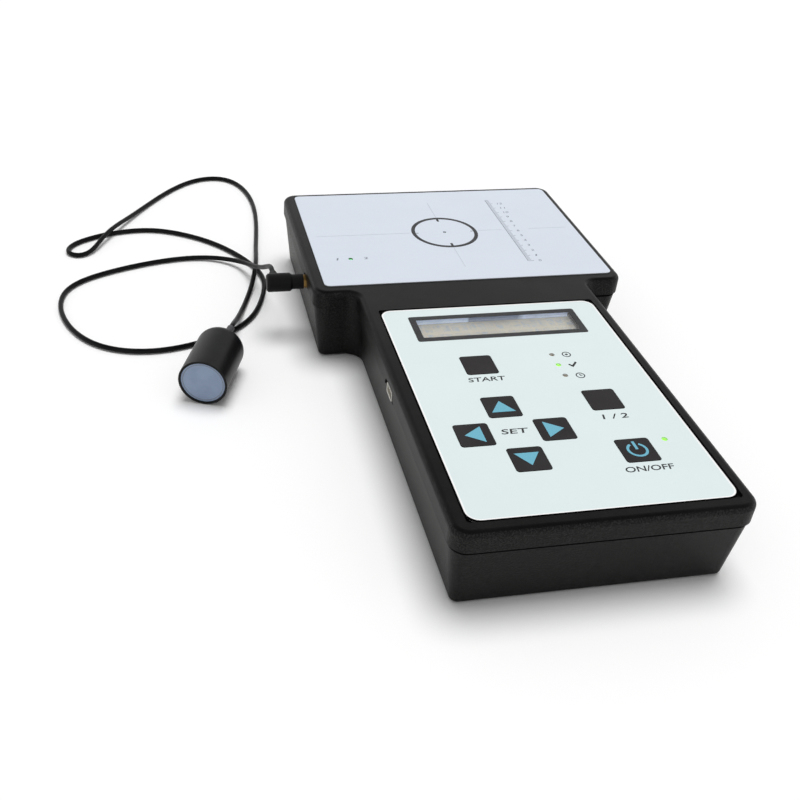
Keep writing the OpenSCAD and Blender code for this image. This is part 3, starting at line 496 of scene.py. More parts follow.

# A painted reflection on the display's back edge: pale blue, brighter at left and right, with a
# faint glow of its own.
tree, shader = new_finish("painted_reflection_strip", 0.35, Emission_Strength=0.3)
strip_x = spot_on(tree, "X")
left_reflection = ramp(tree, strip_x, -9 * mm, -10 * mm)
right_reflection = ramp(tree, strip_x, 11 * mm, 14 * mm, 0.0, 0.8)
reflection_share = maths(tree, "ADD", left_reflection, right_reflection)
reflection_share = maths(tree, "MULTIPLY", reflection_share, ramp(tree, noise(tree, 5.0), 0.2, 0.6, 0.8, 1.0))
reflection_tint = mixed(tree, reflection_share, (0.14, 0.19, 0.32), (0.62, 0.74, 0.97))
feed(shader, "Base Color", reflection_tint)
feed(shader, "Emission Color", reflection_tint)
feed(shader, "Roughness", ramp(tree, noise(tree, 2.0), 0.3, 0.7, 0.3, 0.45))

tree, shader = new_finish("display_light", 0.4, Subsurface_Scale=0.002)
dots = put(tree, "TexVoronoi", {"Vector": place(tree), "Scale": 1 / (0.9 * mm), "Randomness": 0.0})
dot = ramp(tree, dots.outputs["Distance"], 0.3, 0.25)
feed(shader, "Base Color", mixed(tree, dot, (0.7, 0.73, 0.66), (0.88, 0.9, 0.84)))
feed(shader, "Roughness", ramp(tree, dot, 0, 1, 0.3, 0.6))
relief(shader, dot, 0.02)

# %% [markdown]
# ## Lamps
#
# Each lamp is a clear light guide over a chip. Two are lit: the one that says ready, and the one by
# the power key. A lit guide glows yellow-green from inside, in milky clouds, an idle one is a dull
# beige. The glow is the finish's own light, kept low so that it doesn't flood the film.

# %% Lit and idle light guides
def light_guide(name, dull, clear, glow=None, strength=0.0):
    tree, shader = new_finish(name, 0.25, Emission_Strength=strength)
    milky = ramp(tree, noise(tree, 0.6, 3.0), 0.35, 0.65)
    feed(shader, "Base Color", mixed(tree, milky, dull, clear))
    feed(shader, "Roughness", ramp(tree, milky, 0, 1, 0.15, 0.35))
    if glow:
        bright = [min(1, 1.2 * v + 0.04) for v in glow]
        feed(shader, "Emission Color", mixed(tree, milky, glow, bright))
    relief(shader, milky, 0.01)


light_guide("lamp_clear", (0.2, 0.17, 0.12), (0.38, 0.34, 0.26))
light_guide("lamp_lit", (0.15, 0.4, 0.05), (0.25, 0.55, 0.1), (0.26, 0.9, 0.02), 0.9)
light_guide("lamp_green", (0.15, 0.5, 0.2), (0.3, 0.7, 0.3), (0.06, 0.66, 0.16), 0.7)

# %% [markdown]
# ## Metals
#
# Screws and socket shell are steel under a bright plate, brushed a little by the tools that made
# them. Bushing and pin are turned brass, so fine rings run round them. Copper wire is enamelled,
# which makes it redder and glossier than bare metal.

# %% Plated steel, turned brass and enamelled wire
def plated(name, dull, bright, roughness=0.3, size=0.6):
    tree, shader = new_finish(name, roughness, Metallic=1.0)
    cloud = noise(tree, size, 5.0, 0.7, 0.4)
    edges = effect(tree, rub, Width=0.15, Amount=0.7)["Mask"]
    tone = mixed(tree, ramp(tree, cloud, 0.3, 0.7), dull, bright)
    tone = mixed(tree, edges, tone, (0.8, 0.8, 0.8))
    feed(shader, "Base Color", dusted(tree, tone, 0.2, (0.4, 0.4, 0.38)))
    feed(shader, "Roughness", ramp(tree, cloud, 0.3, 0.7, roughness + 0.1, roughness - 0.08))
    relief(shader, cloud, 0.004)


def ringed_metal(name, dull, bright, way, pitch, depth, roughness):
    """Metal with even lines across a way, given as a direction along its axis."""
    tree, shader = new_finish(name, roughness, Metallic=1.0)
    ends = {0: place(tree), 1: way}
    along = put(tree, "VectorMath", ends, operation="DOT_PRODUCT").outputs["Value"]
    lines = put(tree, "Group", {"Along": along, "Pitch": pitch}, node_tree=turned).outputs
    edges = effect(tree, rub, Width=0.15, Amount=0.5)["Mask"]
    tone = mixed(tree, lines["Streak"], dull, bright)
    rubbed = [min(1, 1.4 * v + 0.05) for v in bright]
    feed(shader, "Base Color", mixed(tree, edges, tone, rubbed))
    rough = ramp(tree, lines["Streak"], 0, 1, roughness + 0.1, roughness - 0.05)
    feed(shader, "Roughness", rough)
    relief(shader, lines["Height"], depth)


plated("screw_steel", (0.42, 0.42, 0.43), (0.62, 0.62, 0.64))
plated("socket_steel", (0.88, 0.86, 0.8), (0.98, 0.96, 0.9), 0.45, 0.9)
ringed_metal("brass", (0.34, 0.2, 0.06), (0.5, 0.32, 0.11), (1, 0, 0), 0.25, 0.006, 0.3)
coil_wire_d, probe_wire_d = 0.45, 0.35
for spool, way, wire in (("coil", (0, 0, 1), coil_wire_d), ("probe", probe_way, probe_wire_d)):
    copper, red_copper = (0.4, 0.13, 0.05), (0.62, 0.26, 0.11)
    ringed_metal(spool + "_copper", copper, red_copper, tuple(way), wire, 0.004, 0.28)

# %% [markdown]
# ## Cable jacket, boards, cells and flat cable
#
# The jacket is drawn black vinyl: satin, with a slow waviness. A circuit board is glass-fibre
# laminate under green lacquer, through which its tracks show paler, with tinned dots where they
# change sides, and its sawn edge is straw-coloured. The cells are wrapped in shrink film with bare
# metal ends. The flat cable is a row of wires, the first of them red.

# %% Jacket
tree, shader = new_finish("cable_jacket", 0.36, Specular_IOR_Level=0.1)
slow = ramp(tree, noise(tree, 9.0, 2.0), 0.3, 0.7)
skin = mixed(tree, slow, (0.003, 0.003, 0.0034), (0.007, 0.007, 0.0076))
feed(shader, "Base Color", dusted(tree, skin, 0.05, (0.2, 0.2, 0.19)))
feed(shader, "Roughness", ramp(tree, slow, 0, 1, 0.3, 0.44))
relief(shader, noise(tree, 0.8, 3.0, 0.6), 0.012)

# %% Laminate
tree, shader = new_finish("board_laminate", 0.3, Coat_Roughness=0.15)
face = ramp(tree, maths(tree, "ABSOLUTE", facing(tree, "Z")), 0.4, 0.6)
feeds = {"Vector": place(tree), "Scale": 1 / (6 * mm)}
tracks = put(tree, "TexVoronoi", feeds, distance="CHEBYCHEV", feature="DISTANCE_TO_EDGE")
track = ramp(tree, tracks.outputs["Distance"], 0.09, 0.06)
vias = put(tree, "TexVoronoi", {"Vector": place(tree), "Scale": 1 / (5 * mm)})
via = ramp(tree, vias.outputs["Distance"], 0.1, 0.08)
lacquer = mixed(tree, track, (0.012, 0.1, 0.045), (0.03, 0.19, 0.075))
lacquer = mixed(tree, via, lacquer, (0.55, 0.55, 0.52))
feed(shader, "Base Color", mixed(tree, face, (0.42, 0.34, 0.17), lacquer))
feed(shader, "Roughness", ramp(tree, noise(tree, 3.0, 4.0), 0.3, 0.7, 0.22, 0.4))
feed(shader, "Metallic", maths(tree, "MULTIPLY", via, face))
relief(shader, maths(tree, "ADD", track, via), 0.03)

# %% Cell wrap and flat cable
tree, shader = new_finish("cell_wrap", 0.3)
bare_end = ramp(tree, maths(tree, "ABSOLUTE", facing(tree, "Y")), 0.5, 0.7)
cell_len = 50 * mm
along_cell = maths(tree, "FRACT", maths(tree, "DIVIDE", spot_on(tree, "Y"), cell_len))
band = ramp(tree, along_cell, 0.08, 0.09)
creases = noise(tree, 4.0, 4.0, 0.6, 0.8)
green = mixed(tree, creases, (0.03, 0.2, 0.1), (0.06, 0.3, 0.16))
wrap = mixed(tree, band, (0.55, 0.5, 0.36), green)
feed(shader, "Base Color", mixed(tree, bare_end, wrap, (0.6, 0.6, 0.6)))
feed(shader, "Metallic", bare_end)
feed(shader, "Roughness", ramp(tree, creases, 0.3, 0.7, 0.25, 0.4))
relief(shader, creases, 0.05)

tree, shader = new_finish("ribbon_pvc", 0.45)
wire_x = spot_on(tree, "X")
wire_pitch = 1.27
lines = put(tree, "Group", {"Along": wire_x, "Pitch": wire_pitch}, node_tree=turned).outputs
first_wire = ramp(tree, wire_x, 9.4 * mm, 9.2 * mm)
vinyl = mixed(tree, lines["Height"], (0.2, 0.21, 0.23), (0.38, 0.4, 0.42))
feed(shader, "Base Color", mixed(tree, first_wire, vinyl, (0.4, 0.03, 0.03)))
feed(shader, "Roughness", ramp(tree, noise(tree, 5.0), 0.3, 0.7, 0.38, 0.5))
relief(shader, lines["Height"], 0.25)

# %% Probe film
tree, shader = new_finish("probe_film", 0.35)
cloud = ramp(tree, noise(tree, 5.0, 3.0), 0.35, 0.65)
blue = mixed(tree, cloud, (0.26, 0.34, 0.5), (0.3, 0.39, 0.55))
feed(shader, "Base Color", dusted(tree, blue, 0.1, (0.4, 0.4, 0.4)))
feed(shader, "Roughness", smeared(tree, 0.33, 5.0, 0.1))
relief(shader, noise(tree, 0.9, 2.0), 0.003)
print(len(finishes), "finishes in all")

# %% Each ready-made piece wears its finish
slot_of = {row["node"]: row["material_slot"] for row in frame["record"]["subparts"]}
own_finish = {"ready_lamp": "lamp_lit", "power_lamp": "lamp_lit", "head_lamp": "lamp_green"}
for name, piece in nodes.items():
    wear(piece, own_finish.get(name, slot_of[name]))
wear(probe_lead, "cable_jacket")
print(len(nodes), "ready-made pieces dressed")

# %% [markdown]
# ## Thin plates for printed marks
#
# A mark could be painted into the film's finish, but then its edge would be only as sharp as the
# texture. Here each group of marks is one piece of thin closed plates, standing on the film by the
# thickness of its ink. Two shapes make them all: a slab over an outline, and a slab bent round in
# a ring.

# %% Slabs and rings
ink_t = 0.03
film_top = 32.3
case_top = 32.5
target_top = 32.8
key_top = 32.45


def level_loop(bm, outline, z):
    """Vertices round an outline at one height."""
    return [bm.verts.new((x * mm, y * mm, z * mm)) for x, y in outline]


def add_belt(bm, here, there):
    """A belt of faces between two loops of as many vertices."""
    for i in range(len(here)):
        j = (i + 1) % len(here)
        bm.faces.new((here[i], here[j], there[j], there[i]))


def add_slab(bm, outline, low, high=None):
    """A closed slab over an outline given counterclockwise, from one height to another."""
    below = level_loop(bm, outline, low)
    above = level_loop(bm, outline, low + ink_t if high is None else high)
    bm.faces.new(above)
    bm.faces.new(below[::-1])
    add_belt(bm, below, above)


def add_box(bm, low, high):
    """A closed box between two corners."""
    left, front, below = low
    right, back, above = high
    add_slab(bm, [(left, front), (right, front), (right, back), (left, back)], below, above)


def add_bar(bm, x, y, w, l, low):
    """A rectangular slab with its middle at x, y."""
    add_box(bm, (x - w / 2, y - l / 2, low), (x + w / 2, y + l / 2, low + ink_t))


def circle(mid, r, steps=24):
    """Points round a circle, counterclockwise."""
    angles = [2 * math.pi * i / steps for i in range(steps)]
    return [(mid[0] + r * math.cos(a), mid[1] + r * math.sin(a)) for a in angles]


def add_ring(bm, mid, inner, outer, low, start=0.0, turn=360.0, steps=72):
    """A flat ring or part of one. Angles are in degrees, counterclockwise from +X."""
    closed = turn >= 360
    rows = []
    for i in range(steps if closed else steps + 1):
        a = math.radians(start + turn * i / steps)
        spots = [(inner, low), (outer, low), (outer, low + ink_t), (inner, low + ink_t)]
        rows.append([
            bm.verts.new(((mid[0] + r * math.cos(a)) * mm, (mid[1] + r * math.sin(a)) * mm, z * mm))
            for r, z in spots
        ])
    for i in range(len(rows) if closed else len(rows) - 1):
        add_belt(bm, rows[(i + 1) % len(rows)], rows[i])
    if not closed:
        bm.faces.new(rows[0])
        bm.faces.new(rows[-1][::-1])


def rounded(mid, w, l, r, steps=8):
    """Points round a rectangle with round corners, counterclockwise."""
    points = []
    for i, (side_x, side_y) in enumerate(((1, 1), (-1, 1), (-1, -1), (1, -1))):
        for j in range(steps + 1):
            a = math.radians(90 * (i + j / steps))
            x = mid[0] + side_x * (w / 2 - r) + r * math.cos(a)
            points.append((x, mid[1] + side_y * (l / 2 - r) + r * math.sin(a)))
    return points


def add_frame(bm, outer, inner, low, high):
    """A flat closed band between two outlines of as many points."""
    bands = ((outer, low), (outer, high), (inner, high), (inner, low))
    loops = [level_loop(bm, outline, z) for outline, z in bands]
    for here, there in zip(loops, loops[1:] + loops[:1]):
        add_belt(bm, here, there)


def mesh_of(name, bm):
    """A bmesh kept as a mesh, with all its faces turned outwards."""
    bmesh.ops.recalc_face_normals(bm, faces=bm.faces)
    mesh = bpy.data.meshes.new(name)
    bm.to_mesh(mesh)
    bm.free()
    return mesh


def finish_piece(name, bm, slot, finish=None, body="tester", smooth_angle=None, stands_for=None):
    """Turns a bmesh into a piece that rides on a body and wears a finish."""
    mesh = mesh_of(name, bm)
    if smooth_angle:
        mesh.shade_smooth()
        mesh.set_sharp_from_angle(angle=math.radians(smooth_angle))
    piece = new_object(name, mesh)
    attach(piece, body)
    if stands_for:
        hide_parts(stands_for)
    wear(piece, finish or slot)


# %% [markdown]
# ## Border of the display and cut edge of the keypad
#
# The window is printed black round its rim, which hides the seam where it lies in the film. The
# keypad's own edge was cut with a blade, and the clear polyester shows there as a hair-thin bright
# line. Outside it a black band paints the shade that falls in the gap between film and case,
# darker than the case. All three are bands between two outlines.

# %% Window border, bright edge and painted gap shade
def outline_of(node, grow, corner):
    """The rounded outline of a ready-made piece, in millimetres, grown on every side."""
    low, high = (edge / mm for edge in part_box(node))
    size = high - low
    return rounded((low + high) / 2, size.x + 2 * grow, size.y + 2 * grow, corner)


border, window_corner, opening_corner = 2.6, 1.0, 0.5
hairline, seam, film_corner = 0.65, 0.7, 4.5
film_edge = outline_of("keypad_overlay", 0, film_corner)
bands = {
    "window_border": (
        outline_of("display_window", 0, window_corner),
        outline_of("display_window", -border, opening_corner),
        film_top, ("print_ink",),
    ),
    "keypad_edge": (
        film_edge,
        outline_of("keypad_overlay", -hairline, film_corner - hairline),
        film_top, ("keypad_film", "cut_edge"),
    ),
    # The gap round the keypad, as a black band of painted shade.
    "keypad_seam": (
        outline_of("keypad_overlay", seam, film_corner + seam),
        film_edge,
        case_top, ("print_ink", "painted_gap_shade"),
    ),
}
for name, (outer, inner, top, finish) in bands.items():
    bm = bmesh.new()
    add_frame(bm, outer, inner, film_top, top + ink_t)
    finish_piece(name, bm, *finish)
# The width printed as glue is that of the band of painted gap shade.
print("window border", border, "mm, bright edge", hairline, "mm, glue", seam, "mm")

# %% [markdown]
# ## Painted shade of the seam between the case halves
#
# The lid closes on the lower half with a fine gap, and the shade under its edge reads as a dark
# line all round the walls. A plane that cuts the lower half a little below the lid gives the
# outline, so the line follows the case in every corner. The line is painted shade: a thin dark band
# that stands hardly out of the wall, up to the lid.

# %% Outline of the case at a height, and the painted shade of the seam on it
parting = 24.8


def outline_at(piece, z):
    """The longest way round where a level plane cuts a piece, counterclockwise, in millimetres."""
    bm = bmesh.new()
    bm.from_mesh(piece.data)
    bmesh.ops.remove_doubles(bm, verts=bm.verts, dist=1e-6)
    everything = [*bm.verts, *bm.edges, *bm.faces]
    cut = bmesh.ops.bisect_plane(bm, geom=everything, plane_co=(0, 0, z * mm), plane_no=(0, 0, 1))
    edges = [g for g in cut["geom_cut"] if isinstance(g, bmesh.types.BMEdge)]
    left = set(edges)
    loops = []
    for edge in edges:
        if edge not in left:
            continue
        left.remove(edge)
        loop = list(edge.verts)
        while onward := next((e for e in loop[-1].link_edges if e in left), None):
            left.remove(onward)
            loop.append(onward.other_vert(loop[-1]))
        loops.append([(v.co.x / mm, v.co.y / mm) for v in loop[:-1]])
    bm.free()

    def area(points):
        return sum(a[0] * b[1] - b[0] * a[1] for a, b in zip(points, points[1:] + points[:1])) / 2

    widest = max(loops, key=lambda points: abs(area(points)))
    return widest if area(widest) > 0 else widest[::-1]


def spread(outline, by):
    """An outline moved outwards, point by point."""
    moved = []
    for i, (x, y) in enumerate(outline):
        way = (Vector(outline[(i + 1) % len(outline)]) - Vector(outline[i - 1])).normalized()
        moved.append((x + way.y * by, y - way.x * by))
    return moved


seam_tall, cut_below, proud, sunk, clear = 1.15, 0.7, 0.07, 0.2, 0.01
waist = outline_at(nodes["lower_case"], parting - cut_below)
bm = bmesh.new()
add_frame(bm, spread(waist, proud), spread(waist, -sunk), parting - seam_tall, parting - clear)
# A dark band of painted shade under the lid's edge.
finish_piece("case_seam_shade", bm, "case_plastic", "painted_gap_shade")
print("case seam has", len(waist), "points")

# %% [markdown]
# ## Signs on the keys
#
# Four keys carry a triangle that points away from the middle of their group, and the power key
# carries the common open ring with a bar. The signs are printed on the key caps, so each rides on
# its own key and sinks with it.

# %% Arrows and the power sign
def key_spot(name):
    """The middle of a key's top, in millimetres."""
    return (sum(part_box(name + "_key"), Vector()) / 2 / mm).xy


arrow_turn = {"up": 0, "left": 90, "down": 180, "right": 270}
arrow = ((-4.3, -3.1), (4.3, -3.1), (0, 3.3))
for name, turn in arrow_turn.items():
    spin = Matrix.Rotation(math.radians(turn), 2)
    mid = key_spot(name)
    bm = bmesh.new()
    add_slab(bm, [tuple(mid + spin @ Vector(corner)) for corner in arrow], key_top)
    finish_piece(name + "_arrow", bm, "print_blue", body=name + "_button")

bm = bmesh.new()
power_mid = key_spot("power")
open_from, open_turn = 118, 304
add_ring(bm, power_mid, 2.75, 3.65, key_top, open_from, open_turn)
add_bar(bm, power_mid.x, power_mid.y + 2.3, 1.0, 4.2, key_top)
finish_piece("power_sign", bm, "print_blue", body="power_button")
print("signs stand on", len(arrow_turn) + 1, "keys")

# %% [markdown]
# ## Words and numbers
#
# What is printed beside keys and lamps is set in a slanted, fairly heavy face. Blender's own font
# gives outlines that can be slanted, thickened and extruded. Each word is turned into a mesh and
# fitted to the place that it fills, so its size doesn't hang on the font. The words are the plain
# ones that any machine has.

# %% Printed words
def print_word(name, words, x_span, y_mid, tall, top, finish="print_ink", bold=0.012):
    """A word fitted between two x values in millimetres, a few hundredths thick."""
    letters = bpy.data.curves.new(name, "FONT")
    letters.body, letters.shear, letters.offset = words, 0.12, bold
    letters.extrude = 0.5
    letters.resolution_u = 3
    drawn = shown_mesh(new_object(name + "_draft", letters))
    bm = bmesh.new()
    bm.from_mesh(drawn)
    bpy.data.meshes.remove(drawn)
    bmesh.ops.remove_doubles(bm, verts=bm.verts, dist=1e-5)
    wanted = [x_span, (y_mid - tall / 2, y_mid + tall / 2), (top, top + ink_t)]
    for k, (a, b) in enumerate(wanted):
        low, high = (pick(v.co[k] for v in bm.verts) for pick in (min, max))
        for v in bm.verts:
            v.co[k] = (a + (v.co[k] - low) / (high - low) * (b - a)) * mm
    finish_piece(name, bm, "print_ink", finish)


cap = 2.7
for key, word, span, y in (
    ("run", "START", (-22.6, -8.4), -44.2),
    ("set", "SET", (-20.4, -10.6), -75.4),
    ("sensor", "1 / 2", (17.5, 27), -71.4),
    ("power", "ON/OFF", (13.6, 30.6), -99.8),
):
    print_word("word_" + key, word, span, y, cap, film_top)
print("words printed")

# %% Signs beside the lamps
bm = bmesh.new()
sign_r, line = 1.75, 0.42
aim, tick, wait = (19.8, -31.6), (19.8, -38.6), (19.8, -45.8)
for mid in (aim, wait):
    add_ring(bm, mid, sign_r - line, sign_r, film_top, steps=40)
add_slab(bm, circle(aim, 0.55, 20), film_top)
tick_outline = [(-1.9, 0.15), (-1.3, 0.7), (-0.5, -0.35), (1.35, 1.9), (1.95, 1.35), (-0.5, -1.65)]
add_slab(bm, [(tick[0] + a, tick[1] + b) for a, b in tick_outline][::-1], film_top)
hands = [(-0.2, 1.0), (-0.2, -0.2), (0.8, -0.2), (0.8, 0.2), (0.2, 0.2), (0.2, 1.0)]
add_slab(bm, [(wait[0] + a, wait[1] + b) for a, b in hands], film_top)
finish_piece("lamp_signs", bm, "print_ink")

# %% [markdown]
# ## The target
#
# The head's film shows where to lay what is tested: a dark ring with small bars on it, a tiny
# centre mark, and hairlines that run out towards the film's edges. At its right stands a fine
# ruler with plain numbers. The hairlines are paler than the ring, as thin print is.

# %% Target ring, hairlines and ruler
target_mid = (1.1, 74.1)
ring_inner, ring_outer = 13.7, 15.4
bm = bmesh.new()
add_ring(bm, target_mid, ring_inner, ring_outer, target_top, steps=128)
for side in (1, -1):
    add_bar(bm, target_mid[0], target_mid[1] + side * 12.5, 1.1, 2.4, target_top)
    add_bar(bm, target_mid[0] + side * 13.0, target_mid[1], 1.2, 0.4, target_top)
add_ring(bm, target_mid, 0.3, 0.75, target_top, steps=24)
finish_piece("target_ring", bm, "print_ink")

bm = bmesh.new()
hair, cross_y = 0.3, 74.5
for left, right in ((-58.6, -15.0), (17.2, 28.6), (42, 60.4)):
    add_bar(bm, (left + right) / 2, cross_y, right - left, hair, target_top)
for front, back in ((40.2, 58.9), (89.3, 106.4)):
    add_bar(bm, target_mid[0], (front + back) / 2, hair, back - front, target_top)
finish_piece("target_hairlines", bm, "print_ink", "faint_ink")

bm = bmesh.new()
ruler_x, ruler_start, ruler_end = 30.7, 42.9, 107
ruler_long = ruler_end - ruler_start
add_bar(bm, ruler_x, (ruler_start + ruler_end) / 2, 0.25, ruler_long, target_top)
last_tick, long_every = int(ruler_long), 5
for i in range(last_tick + 1):
    reach = 1.6 if i % long_every else 2.6
    add_bar(bm, ruler_x + 0.13 + reach / 2, ruler_start + i, reach, 0.22, target_top)
finish_piece("ruler_lines", bm, "print_ink", "pale_grey_ink")
pale = "pale_grey_ink"
for i in range(last_tick // long_every + 1):
    span = (35.6, 36.9 if i < 10 else 38.2)
    y = ruler_start + long_every * i
    print_word(f"ruler_number_{i}", str(i), span, y, 1.7, target_top, pale, bold=0)
for name, word, span in (("a", "1", (-53.6, -52.4)), ("b", "2", (-41.4, -39.6))):
    print_word("lamp_side_" + name, word, span, 52, 1.9, target_top, pale)
print("ruler has", last_tick + 1, "ticks")

# %% [markdown]
# ## Turned and wound pieces
#
# Screws, sleeves and windings are all shapes of revolution. A profile spun round an axis makes
# them. A screw's thread winds instead of closing on itself, which a profile can't do, so the radius
# also follows the turn: one turn of rise for every turn round.

# %% Spinning a profile
def axis_frame(spot, way):
    """A frame with its Z along a way, at a spot in millimetres."""
    turn = Vector((0, 0, 1)).rotation_difference(Vector(way).normalized())
    return Matrix.Translation(Vector(spot)) @ turn.to_matrix().to_4x4()


def spin(bm, profile, at, steps=48, bulge=None):
    """Spins a profile of radius and height pairs into a closed solid.

    The profile runs from axis to axis, or else round a closed loop off the axis.
    """
    rings = []
    for r, z in profile:
        ring = []
        for i in range(steps if r > 0 else 1):
            a = 2 * math.pi * i / steps
            swell = bulge(r, z, a) if bulge and r > 0 else r
            spot = Vector((swell * math.cos(a), swell * math.sin(a), z))
            ring.append(bm.verts.new(at @ spot * mm))
        rings.append(ring)
    if len(rings[0]) > 1:
        rings.append(rings[0])
    for low, high in zip(rings, rings[1:]):
        for i in range(steps):
            j = (i + 1) % steps
            if len(low) == 1:
                bm.faces.new((low[0], high[j], high[i]))
            elif len(high) == 1:
                bm.faces.new((low[i], low[j], high[0]))
            else:
                bm.faces.new((low[i], low[j], high[j], high[i]))


# %% [markdown]
# ## Screws
#
# Pan-head screws with a cross recess close the case from below and hold the boards. The plain
# cylinders of the frame become real ones: a domed head, a cross cut into it by subtracting a cross,
# and a shank whose thread climbs by its pitch at each turn.

# %% A threaded pan-head screw, made once for each size
def screw_mesh(name, shank_r, length, head_r, head_h):
    """A screw with its head's underside at z = 0, the shank upwards."""
    pitch, deep, plain_tip, rows = 0.9, 0.28, 0.3, 80
    dome = ((0, 1), (0.55, 1), (0.85, 0.86), (1, 0.45), (1, 0))
    profile = [(r * head_r, -h * head_h) for r, h in dome]
    profile += [(shank_r, length * i / rows) for i in range(rows - 2)]
    profile += [(0.7 * shank_r, length), (0, length)]

    def thread(r, z, a):
        if not pitch < z < length - plain_tip:
            return r
        phase = (z / pitch - a / (2 * math.pi)) % 1
        return r - deep * (1 - abs(2 * phase - 1))

    bm = bmesh.new()
    spin(bm, profile, Matrix.Identity(4), 32, thread)
    body = new_object(name, mesh_of(name, bm))
    cross = bmesh.new()
    arm, half, deep_cut, narrow = 0.55 * head_r, 0.13 * head_r, 0.62 * head_h, 0.6
    tips = [(arm, -half), (arm, half), (half, half)]
    for _ in range(3):
        tips += [(-y, x) for x, y in tips[-3:]]
    foot = level_loop(cross, tips, -1.5 * head_h)
    tip = level_loop(cross, [(narrow * x, narrow * y) for x, y in tips], deep_cut - head_h)
    cross.faces.new(foot[::-1])
    cross.faces.new(tip)
    add_belt(cross, foot, tip)
    cutter = new_object(name + "_cross", mesh_of(name + "_cross", cross))
    cut = body.modifiers.new("cross", "BOOLEAN")
    cut.operation, cut.object, cut.solver = "DIFFERENCE", cutter, "EXACT"
    made = shown_mesh(body)
    bpy.data.objects.remove(cutter)
    return made


def place_screws(name, mesh, spots, flip, stands_for):
    """One piece holding a screw at each spot, in millimetres."""
    bm = bmesh.new()
    for spot in spots:
        part = mesh.copy()
        turn = Matrix.Rotation(math.pi if flip else 0, 4, "X")
        part.transform(Matrix.Translation(Vector(spot) * mm) @ turn)
        bm.from_mesh(part)
        bpy.data.meshes.remove(part)
    finish_piece(name, bm, "screw_steel", smooth_angle=35, stands_for=stands_for)


case_screw = screw_mesh("case_screw", 1.5, 12, 2.8, 2.2)
board_screw = screw_mesh("board_screw", 1.25, 6, 2.4, 1.6)
case_spots = [(sx * x, y, 8) for sx in (-1, 1) for x, y in ((40.5, -113), (58, 33), (58, 113))]
board_spots = [(sx * 40, y, 22.8) for sx in (-1, 1) for y in (-100.5, 14)]
board_spots += [(sx * 45, y, 20.3) for sx in (-1, 1) for y in (45.8, 101.8)]
place_screws("case_screws_cut", case_screw, case_spots, False, "case_screws")
place_screws("board_screws_cut", board_screw, board_spots, True, "board_screws")
print(len(case_spots) + len(board_spots), "screws")

# %% [markdown]
# ## Windings
#
# The coil under the target and the one in the probe are wound with enamelled wire. Seen from
# outside, a winding is a stack of rounded rings that touch, so a scalloped profile stands for the
# hundreds of turns of the real one, on the frame's plain ring.

# %% Wound wire on both spools
def wind(name, stands_for, spot, way, inner, outer, length, wire, finish):
    """A winding whose outside shows each turn of its wire."""
    turns = int(length / wire)
    pitch = length / turns
    profile = [(inner, 0)]
    for i in range(turns):
        for k in range(4):
            a = math.pi * (k + 0.5) / 4
            r = outer - pitch / 2 * (1 - math.sin(a))
            profile.append((r, pitch * (i + 0.5 - 0.5 * math.cos(a))))
    profile.append((inner, length))
    bm = bmesh.new()
    spin(bm, profile, axis_frame(spot, way), 72)
    finish_piece(name, bm, "coil_copper", finish, smooth_angle=60, stands_for=stands_for)
    print(name, "shows", turns, "turns")


coil_low, coil_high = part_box("coil_winding")
coil_mid = (coil_low + coil_high) / 2 / mm
wind("coil_wire", "coil_winding", (coil_mid.x, coil_mid.y, coil_low.z / mm), (0, 0, 1), 14.6, 19.0,
     (coil_high.z - coil_low.z) / mm, coil_wire_d, "coil_copper")
probe_face_at = Vector((-115.4, -2.4, probe_r))
wind("probe_wire", "probe_winding", probe_face_at + 2.55 * probe_way, probe_way, 4.6, 7.45,
     9, probe_wire_d, "probe_copper")

# %% [markdown]
# ## The probe's sleeve
#
# A rubber sleeve keeps the cable from kinking where it leaves the probe. It tapers, and rings cut
# into it let it bend evenly. The rings are real grooves here, since they show along its outline.

# %% Grooved sleeve
bm = bmesh.new()
probe_len, sleeve_len = 29.8, 13
sleeve_r, sleeve_end = 2.2, probe_len + sleeve_len
sleeve = [(0, 26.8), (3.2, 26.8), (3.2, 28.0), (sleeve_r, 28.0), (sleeve_r, probe_len + 1)]
grooves, groove_step, groove_deep = 6, 1.8, 0.32
for i in range(grooves):
    start = probe_len + 1.4 + groove_step * i
    for r_in, dz in ((0, 0), (groove_deep, 0.25), (groove_deep, 0.65), (0, 0.9)):
        z = start + dz
        taper = sleeve_r - 0.7 * (z - probe_len - 1) / (sleeve_len - 1)
        sleeve.append((taper - r_in, z))
sleeve += [(1.55, sleeve_end - 0.15), (1.4, sleeve_end), (0, sleeve_end)]
spin(bm, sleeve, axis_frame(probe_face_at, probe_way), 40)
finish_piece("grooved_sleeve", bm, "relief_rubber", smooth_angle=40, stands_for="probe_relief")
print("sleeve has", grooves, "grooves")

# %% Painted reflection: a pale strip at the back edge of the display's opening
bm = bmesh.new()
strip_y = sight_mid[1] + sight_size[1] / 2
strip_half, strip_low, strip_high = 32, 29.12, 30.95
add_box(bm, (sight_mid[0] - strip_half, strip_y - 0.25, strip_low),
        (sight_mid[0] + strip_half, strip_y - 0.02, strip_high))
finish_piece("display_reflection_strip", bm, "display_light", "painted_reflection_strip")

# %% Thin printed ring on the probe's face
bm = bmesh.new()
disc_depth = 0.35
add_ring(bm, (0, 0), 8.0, 8.25, disc_depth - ink_t, steps=96)
bm.transform(Matrix.Translation(probe_face_at * mm) @ axis_frame((0, 0, 0), probe_way))
finish_piece("probe_ring", bm, "print_ink", "pale_grey_ink")

# %% [markdown]
# ## Small metal parts
#
# The charging socket has a row of contacts on its tongue. Chips stand on bent leads. The cells have
# a raised cap at one end. They are small, but they are what the eye looks for when the case is
# opened.

